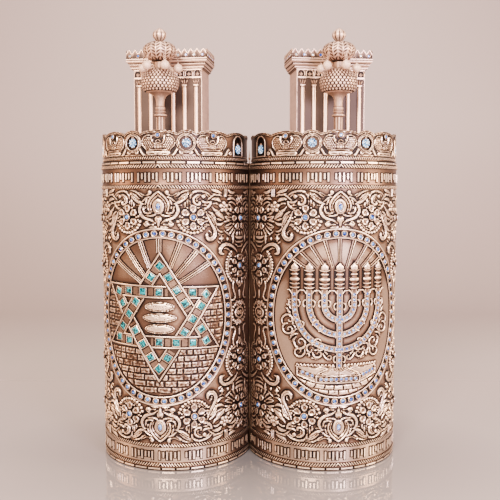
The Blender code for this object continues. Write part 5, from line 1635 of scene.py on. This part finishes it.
def crown_band(half):
    """The pierced and scalloped band with its crowns, rope, stones and the dark backs of its openings, which
    are painted shade where the shadowed space behind would show.
    """
    columns, rows = round(2 * CROWN_EDGE / CROWN_STEP), round((CROWN_TOP - CROWN_FOOT) / CROWN_STEP)
    band = Relief(-CROWN_EDGE, CROWN_EDGE, columns, CROWN_FOOT, CROWN_TOP + 0.6, rows)
    u, z = band.grid
    top = crown_top(u)
    window_u, window_z, window_radius = WINDOW
    niche_u, niche_foot, niche_spring, niche_half = NICHE
    window = window_radius - np.hypot(np.abs(u) - window_u, z - window_z)
    niche = niche_half - np.hypot(np.abs(u) - niche_u, np.maximum(z - niche_spring, 0.0))
    niche = np.minimum(niche, z - niche_foot)
    for centre in CROWNS:
        small_crown(band, centre)
    band.stroke([(-CROWN_EDGE, 558.2, 0.5), (CROWN_EDGE, 558.2, 0.5)], 0.7, steps=1)
    for rim, rise, near, far in ((-window, 1.0, 3.4, 5.0), (-window, 1.9, 0.5, 2.5), (-niche, 1.7, 1.2, 3.8)):
        band.height = np.where(rim < far + 0.8, rounded(rim, near, far, rise), band.height)
    band.stain_and_painted_shade += -0.02 + 0.5 * np.exp(-np.maximum(z - CROWN_FOOT, 0) / 0.8)
    below = top - z
    for near, far, rise in ((-0.5, 1.5, 1.7), (2.6, 4.0, 1.2)):
        beside = (below < far + 0.9) & (below > near - 0.9)
        band.height = np.where(beside, rounded(below, near, far, rise), band.height)
    # Dark sheets behind the openings: painted shade in place of the shadowed space seen through them.
    openings = [(side * u, *ends) for side in (-1, 1)
                for u, *ends in ((window_u, 566.0, 593.0), (niche_u, 560.4, 594.6))]
    for number, (centre, low, high) in enumerate(openings, 1):
        steps = np.linspace(centre - 13.4, centre + 13.4, 9)[:, None]
        z_loop, r_loop = np.array([(low, 134.5), (high, 134.5), (high, 133.7), (low, 133.7)]).T
        half.add(f"opening_back_{number}", on_curve(steps, z_loop, r_loop, CROWN_RADIUS), net(9, 4), 0.62)
    sheet(half, "crown_band", band, np.maximum(np.maximum(z - top, window), niche), CROWN_RADIUS, CROWN_BACK,
          [f"crown_band_{half.name}"])
    rope, gems = Places(), Places()
    rope.rope(553.8, CROWN_EDGE - 2.0, 0.4, 56.0, CROWN_RADIUS)
    set_pieces(half, "crown_rope", rope, "strand", size=0.72, step=4.2)
    for centre in CROWNS:
        gems.on_face(centre, 592.8, 2.0, radius=CROWN_RADIUS)
    set_stones(half, "crown", gems, "round_setting", "crystal", "crystal", (1.05, 1.12),
               kinds=("settings", "gems"))


def pendants(half):
    """Lens-shaped drops covered with small stones, hung in the band's openings."""
    middle = (CROWN_RADIUS + CROWN_BACK) / 2
    drops, stones, loops = Places(), Places(), Places()
    for side in (-1, 1):
        for u, z in ((WINDOW[0], WINDOW[1] + 0.3), (NICHE[0], 572.0)):
            drops.on_face(side * u, z, 0.0, radius=middle)
            loops.on_face(side * u, z + 9.2, 0.6, radius=middle)
            for reach, count in ((0.0, 1), (3.6, 5), (6.4, 9)):
                for i in range(count):
                    degrees = 360.0 * (i + 0.5 * (reach > 4)) / count
                    spot = polar((reach, reach * 1.06), degrees, (side * u, z))
                    stones.on_face(*spot, 2.5 - 0.030 * reach ** 2, radius=middle)
    set_pieces(half, "pendants", drops, "drop", "teal_crystal", 0.92,
               replaces=[f"pendant_{half.name}_{number}" for number in range(1, 5)])
    set_pieces(half, "pendant_stones", stones, "drop_stone", "glint")
    set_pieces(half, "pendant_loops", loops, "loop", "pale")


# Tower

def tower_walls(half):
    """Three walls, flat roof and the stepped cornice."""
    wall, low = TOWER_WALL, SETBACK + 0.3
    across, depth = TOWER_HALF, TOWER_DEPTH
    outline = [(-across, low), (-across, depth), (across, depth), (across, low), (across - wall, low),
               (across - wall, depth - wall), (wall - across, depth - wall), (wall - across, low)]
    upright(half, "tower_walls", outline, CROWN_FOOT, CORNICE_TOP - 6.0, "ashlar", bevel=0.3,
            replaces=[f"temple_{half.name}"])
    roof = [(-across - 4.0, SETBACK), (across + 4.0, SETBACK), (across + 4.0, depth + 4.0),
            (-across - 4.0, depth + 4.0)]
    upright(half, "tower_roof", roof, 717.0, CORNICE_TOP, "pale")
    steps = [(-0.6, 715.2, 0.9), (1.3, 715.2, 0.6), (1.3, 716.6, 0.1), (1.9, 717.0, 0.9), (3.4, 717.0, 0.5),
             (4.2, 718.0, 0.1), (4.2, 719.6, 0.3), (3.7, 719.9, 0.95), (3.7, 720.8, 0.95), (5.2, 721.0, 0.4),
             (6.0, 722.0, 0.1), (7.5, 723.4, 0.2), (7.5, 724.6, 0.3), (7.0, 725.0, 0.95), (7.0, 725.9, 0.95),
             (8.6, 726.2, 0.4), (9.6, 727.6, 0.1), (10.9, 729.0, 0.1), (10.9, 730.6, 0.3),
             (10.3, 730.9, 0.95), (10.3, 731.7, 0.95), (11.0, 732.0, 0.3), (11.0, 734.0, 0.1),
             (10.2, 734.4, 0.9), (-0.6, 734.4, 0.6)]
    points = [(-half.side * end * (across + outset), -(depth + outset if front else SETBACK), z)
              for end, front in ((-1, 0), (-1, 1), (1, 1), (1, 0)) for outset, z, _ in steps]
    half.add("cornice", points, net(4, len(steps)), [dark for *_, dark in steps] * 4, "pale", sharp=None)


def parapet(half):
    """The wall of small gables, each with raised slopes, and the stones between the mouldings."""
    outset, low = 10.7, SETBACK + 0.8
    across, depth = TOWER_HALF + outset, TOWER_DEPTH + outset
    corners = np.array([(-across, low), (-across, depth), (across, depth), (across, low)])
    parts, slopes, blue, clear = [], Places(), Places(), Places()
    for start, stop in zip(corners, corners[1:]):
        long = np.linalg.norm(stop - start)
        out = np.array((0.0, 1.0)) if start[0] != stop[0] else np.array((math.copysign(1.0, start[0]), 0.0))
        facing, along = ((-half.side * q, -p, 0.0) for q, p in (out, (stop - start) / long))

        def spot(share, z, back=0.0):
            q, p = start + (stop - start) * share - out * back
            return -half.side * q, -p, z

        count = round(long / 11.4)
        points, cavity = [], []
        for i in range(2 * count + 1):
            high = 750.2 if i % 2 else 742.2
            for back, z, dark in ((0.0, CORNICE_TOP - 0.6, 0.8), (0.0, high - 3.0, 0.42), (0.0, high, 0.1),
                                  (TOWER_WALL, high, 0.3), (TOWER_WALL, CORNICE_TOP - 0.6, 0.6)):
                points.append(spot(i / (2 * count), z, back))
                cavity.append(dark)
        parts.append((points, net(2 * count + 1, 5), cavity))
        flip = 1 if facing[0] * along[1] - facing[1] * along[0] > 0 else -1
        for i in range(count):
            for way in (-1, 1):
                slopes.spot(spot((i + 0.5 + way * 0.25) / count, 745.6), facing, along, -way * 54.5 * flip)
        stones = round(long / 14.2)
        for i in range(stones):
            share = (i + 0.5) / stones
            (blue if i % 2 else clear).spot(spot(1 - share if half.side > 0 else share, 739.0), facing, along)
    half.add("parapet", *joined(parts), "pale", sharp=None)
    set_pieces(half, "gable_slopes", slopes, "gable_slope", "pale")
    for name, places, finish in (("blue", blue, "deep_crystal"), ("clear", clear, "clear")):
        set_stones(half, f"parapet_{name}", places, "round_setting", "crystal", finish, (0.82, 0.85),
                   kinds=("settings", "stones"), holder="pale")


def colonnade(half):
    """Half-round columns with three-pointed capitals, the panels between them and the frieze."""
    front, forward = -TOWER_DEPTH, (0.0, -1.0, 0.0)
    pitch = 2 * TOWER_HALF / 6
    edge = [(4.5, 0.0, 1.0), (4.5, 0.9, 0.8)]
    # Across each shaft the cavity runs from light down its front to darker on its sides: painted highlight
    # and painted shade on the half-round.
    shaft = edge + [(3.6 * math.sin(-a), 0.9 + 2.9 * math.cos(a), 0.55 - 0.6 * math.cos(a))
                    for a in np.linspace(-math.pi / 2, math.pi / 2, 11)] + mirrored(edge)
    levels = [(CROWN_FOOT, 1.25), (CROWN_FOOT + 3.0, 1.25), (CROWN_FOOT + 3.6, 1.05), (CROWN_FOOT + 5.0, 1.0),
              (683.0, 1.0), (683.3, 0.82), (684.3, 0.82), (684.6, 1.12), (686.2, 1.12), (686.6, 0.8),
              (688.0, 0.8)]
    parts, capitals, arches = [], Places(), Places()
    for i in range(6):
        x = pitch * (i - 2.5)
        points = [(x + across * min(swell, 1.05), front - rise * swell + 0.5, z)
                  for z, swell in levels for across, rise, _ in shaft]
        cavity = [min(max(dark, 0.0) + 0.5 * (swell < 0.9), 1.0) for _, swell in levels for *_, dark in shaft]
        parts.append((points, net(len(levels), len(shaft)), cavity))
        capitals.spot((x, front, 692.8), forward)
    for i in range(8):
        arches.spot((pitch * 0.75 * (i - 3.5), front, 708.0), forward)
    half.add("columns", *joined(parts), "pale")
    set_pieces(half, "capitals", capitals, "capital", "pale")
    set_pieces(half, "frieze_arches", arches, "frieze_arch", "pale")
    end = TOWER_HALF - 1.0
    for name, low, high, proud, dark in (("frieze_ground", 702.0, 714.6, 0.5, 1.0),
                                         ("frieze_foot", 700.2, 702.2, 1.9, 0.1),
                                         ("frieze_head", 713.8, 715.4, 1.9, 0.1),
                                         ("wall_panels", CROWN_FOOT, 700.4, 0.25, 0.64)):
        outline = [(-end, TOWER_DEPTH - 0.6), (end, TOWER_DEPTH - 0.6), (end, TOWER_DEPTH + proud),
                   (-end, TOWER_DEPTH + proud)]
        upright(half, name, outline, low, high, "pale", dark)


# Finial and bells

def profile_cavity(profile, reach):
    """Cavity of a turned profile, from how far each point lies below its neighbours."""
    profile = np.array(profile, float)
    along = np.concatenate([[0], np.cumsum(np.linalg.norm(np.diff(profile, axis=0), axis=1))])
    weight = np.exp(-((along[:, None] - along[None, :]) / reach) ** 2)
    mean = (weight * profile[None, :, 0]).sum(1) / weight.sum(1)
    return np.clip(0.33 + (mean - profile[:, 0]) * 0.28, 0.0, 1.0)


def turned_finial(half, name, profile, sides, ripple, shade, replaces=()):
    """A turned part of the finial, whose cavity comes from shade at each (angle, height)."""
    points, faces = turned(profile, sides, FINIAL, ripple)
    angle = np.mod(np.arctan2(points[:, 1] - FINIAL[1], points[:, 0] - FINIAL[0]), math.tau)
    half.add(name, points, faces, np.clip(shade(angle, points[:, 2]), 0, 1), "pale", replaces)


def finial(half):
    """Panelled shaft with rings, smooth funnel and scaled bulb."""
    shaft = [(8.3, CROWN_FOOT), (8.3, 551.6), (7.6, 552.3), (7.6, 623.8), (7.8, 624.4), (9.6, 625.6),
             (11.2, 626.4), (11.5, 627.4), (11.2, 628.9), (8.6, 629.6), (8.0, 630.4), (8.0, 632.4),
             (8.9, 633.0),
             (9.1, 634.4), (8.3, 635.2), (8.3, 637.6), (8.6, 638.4), (8.7, 640.4), (8.4, 641.8), (7.5, 642.4),
             (7.4, 644.0)]

    def panelled(z):
        return (z > 552.0) & (z < 624.0)

    def panels(angle, z):
        return 1 + panelled(z) * 0.05 * np.cos(8 * angle)

    def shaft_shade(angle, z):
        flutes = 0.22 * (0.5 - 0.5 * np.cos(8 * angle)) ** 3 - 0.08
        return np.repeat(profile_cavity(shaft, 1.6), 48) + panelled(z) * flutes

    turned_finial(half, "finial_shaft", shaft, 48, panels, shaft_shade, [f"finial_{half.name}"])
    funnel = smoothed([(7.3, 642.5), (7.5, 650), (8.2, 655), (9.8, 659.4), (12.9, 662.6), (18.0, 665.6),
                       (23.4, 667.6), (26.2, 669.4), (29.8, 675), (31.4, 684), (30.4, 691), (27.4, 696.6),
                       (23.6, 701), (18.0, 704.8), (12.0, 707.2), (9.6, 708.8), (9.3, 716), (9.3, 719)], 3)

    def bulb_shade(angle, z):
        return np.where(z > 667.8, 0.9, 0.32) - 0.3 * np.exp(-((z - 667.4) / 0.9) ** 2) - 0.55 * (z > 707.6)

    turned_finial(half, "finial_bulb", funnel, 48, None, bulb_shade)
    scales = Places()
    rows = 10
    bulb = funnel[(funnel[:, 1] > 668.6) & (funnel[:, 1] < 707.0)]
    along = np.concatenate([[0], np.cumsum(np.linalg.norm(np.diff(bulb, axis=0), axis=1))])
    for row in range(rows):
        at = along[-1] * (row + 0.4) / rows
        (radius, height), (ahead, above) = ([np.interp(place, along, bulb[:, axis]) for axis in (0, 1)]
                                            for place in (at, at + 0.5))
        slope = math.atan2(radius - ahead, above - height)
        count = 29 if radius > 21 else 21
        for i in range(count):
            a = math.tau * (i + 0.5 * (row % 2)) / count
            c, s = math.cos(a), math.sin(a)
            scales.spot((FINIAL[0] + radius * c, FINIAL[1] + radius * s, height),
                        (c * math.cos(slope), s * math.cos(slope), math.sin(slope)), (-s, c, 0.0),
                        size=(radius / 31.0 * 29 / count, 1.0, 1.0))
    set_pieces(half, "finial_scales", scales, "scale", "pale")


def finial_top(half):
    """The dome of leaves under the bud, and the bud itself."""
    dome = smoothed([(9.0, 717.5), (11.0, 719.6), (18.5, 723.0), (25.5, 728.6), (29.0, 735.6), (28.6, 742.0),
                     (25.2, 747.6), (18.0, 751.8), (9.6, 753.8), (6.2, 755.0), (6.0, 757.2)], 4)
    bud = smoothed([(5.4, 754.6), (8.2, 757.2), (11.2, 761.2), (12.0, 765.4), (10.6, 770.0), (7.0, 773.4),
                    (3.4, 775.4), (1.5, 776.5), (0.3, 776.9)], 3)
    ribs = 10

    def leaves(angle, z):
        off = np.abs(np.mod(angle * ribs / math.tau, 1.0) - 0.5) * 2
        rib = np.exp(-(off / 0.13) ** 2) + 0.75 * np.exp(-((off - 1.0) / 0.20) ** 2)
        vein = 0.5 + 0.5 * np.cos(math.tau * ((z - 718.0) / 5.2 - 0.95 * off))
        zone = np.clip((z - 719.5) / 3.0, 0, 1) * np.clip((753.5 - z) / 3.0, 0, 1)
        return rib * zone, vein * np.clip(1.2 * np.sin(math.pi * np.clip(off, 0, 1)), 0, 1) * zone

    def swell(angle, z):
        rib, vein = leaves(angle, z)
        return 0.955 + 0.045 * rib + 0.030 * vein

    def dome_shade(angle, z):
        rib, vein = leaves(angle, z)
        return np.where((z < 719.0) | (z > 754.0), 0.7, np.clip(0.82 - 0.95 * rib - 0.80 * vein, 0, 1))

    def folds(angle, z):
        return 0.95 + 0.05 * np.abs(np.cos(4.5 * angle)) ** 0.7

    def bud_shade(angle, z):
        return 0.85 - 0.95 * np.abs(np.cos(4.5 * angle)) ** 0.7 - 0.4 * np.clip((z - 768) / 6, 0, 1)

    turned_finial(half, "finial_dome", dome, 120, swell, dome_shade)
    turned_finial(half, "finial_bud", bud, 72, folds, bud_shade)


def bells(half):
    """Round bells, each on four short links that lean in to the dome."""
    balls, links = Places(), Places()
    for degrees in BELL_ANGLES[half.side]:
        a = math.radians(degrees)
        out = (-half.side * math.sin(a), -math.cos(a))

        def spot(reach, height):
            return reach * out[0], FINIAL[1] + reach * out[1], height

        balls.spot(spot(BELL_RING, BELL_HEIGHT), (0.0, 0.0, 1.0))
        for number, (height, inset) in enumerate(((719.6, 0.0), (723.4, 0.6), (727.2, 2.6), (730.4, 4.2))):
            links.spot(spot(BELL_RING - inset, height), (*out, 0.0), (0.0, 0.0, 1.0), 90.0 * (number % 2))
    set_pieces(half, "bells", balls, "bell", "bell",
               replaces=[f"bell_{half.name}_{number}" for number in range(1, 7)])
    set_pieces(half, "bell_links", links, "link", "pale")


def hinge(left, right):
    """Round knuckles carried in turn by the two halves, and the pin with its knob."""
    for number in range(5):
        half = (left, right)[number % 2]
        name = f"hinge_knuckle_{half.name}_{number + 1}"
        low, high = (corner.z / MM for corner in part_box(name))
        profile = [(1.3, low), (1.95, low), (2.2, low + 0.5), (2.2, high - 0.5), (1.95, high), (1.3, high)]
        knuckle = turned(profile, 20, (-half.side * RADIUS, 0.0), hollow=True)
        half.add(f"hinge_knuckle_{number + 1}", *knuckle, finish="hinge", replaces=[name])
    knob = [(0.9, 0.8), (0.9, 555.0), (1.5, 556.2), (2.2, 557.6), (2.2, 558.8), (1.4, 560.0), (1.0, 561.6),
            (1.2, 563.4), (0.8, 566.0), (0.45, 571.0), (0.3, 574.0)]
    left.add("hinge_pin", *turned(knob, 20, (-left.side * RADIUS, 0.0)), finish="hinge",
             replaces=["hinge_pin"])


# Stage

def stage():
    """A pale floor that curves up into the backdrop, soft lights and the camera."""
    curve = [(1.6 + 0.9 * math.sin(a), 0.9 - 0.9 * math.cos(a)) for a in np.linspace(0.1, math.pi / 2, 12)]
    path = [(-2.2, 0.0), (1.6, 0.0), *curve, (2.5, 3.4)]
    mesh = bpy.data.meshes.new("studio_sweep")
    mesh.from_pydata([(x, y, z) for y, z in path for x in (-3.2, 3.2)], [],
                     [face[::-1] for face in net(len(path), 2, wrap_columns=False, caps=False)])
    mesh.shade_smooth()
    mesh.materials.append(paper("studio_paper"))
    placed("studio_sweep", mesh)
    scene = bpy.context.scene
    scene.world = bpy.data.worlds.new("soft_room")
    scene.world.use_nodes = True
    room = scene.world.node_tree.nodes["Background"]
    room.inputs["Color"].default_value = (*tint(0.90, 0.86, 0.84), 1.0)
    room.inputs["Strength"].default_value = 0.42
    plain = (1.0, 0.93, 0.875)
    for name, place, aim, size, power, colour in (
        ("front_light", (-0.7, -2.3, 1.5), (0.0, 0.0, 0.3), 0.9, 212.0, plain),
        ("cool_light", (1.3, -2.2, 1.0), (0.0, 0.0, 0.35), 0.9, 150.0, (0.96, 0.91, 0.99)),
        ("left_light", (-2.2, -0.2, 1.0), (0.0, 0.0, 0.35), 1.1, 56.0, (1.0, 0.82, 0.65)),
        ("right_light", (2.2, -0.5, 1.0), (0.0, 0.0, 0.35), 1.1, 125.0, (1.0, 0.89, 0.77)),
        ("low_light", (0.0, -2.2, 0.35), (0.0, 0.0, 0.05), 0.7, 14.0, plain),
        ("top_light", (0.0, -0.6, 2.6), (0.0, 0.0, 0.4), 1.4, 60.0, plain),
        ("backdrop_light", (0.0, 0.7, 2.9), (0.0, 2.3, 0.7), 2.0, 48.0, plain),
    ):
        lamp = bpy.data.lights.new(name, "AREA")
        lamp.shape, lamp.size, lamp.energy, lamp.color = "DISK", size, power, tint(*colour)
        holder = placed(name, lamp)
        holder.location = place
        holder.rotation_euler = (Vector(aim) - Vector(place)).to_track_quat("-Z", "Y").to_euler()
    lens = bpy.data.cameras.new("camera")
    lens.lens, lens.sensor_width, lens.shift_x = 51.921, 36.0, 0.0014
    scene.camera = placed("camera", lens)
    scene.camera.location = (0.0, -1.3248, 0.4904)
    scene.camera.rotation_euler = (math.radians(90.0 - 4.393), 0.0, 0.0)


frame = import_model()
make_shapes()
make_finishes()
pin_low, pin_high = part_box("hinge_pin")
halves = [Half(name, side, (pin_low.y + pin_high.y) / 2) for name, side in (("left", -1), ("right", 1))]
relief = carved_field()
for half in halves:
    case_body(half)
    bands(half)
    repeats_on_bands(half)
    carved_face(half, relief)
    oval_ring(half)
    crown_band(half)
    pendants(half)
    tower_walls(half)
    parapet(half)
    colonnade(half)
    finial(half)
    finial_top(half)
    bells(half)
star(halves[0])
lampstand(halves[1])
hinge(*halves)
for name in ("clasp_hook", "clasp_keeper"):
    frame["nodes"][name].data.materials.clear()
    frame["nodes"][name].data.materials.append(finishes["hinge"])
for made in shapes.values():
    bpy.data.objects.remove(made)
stage()
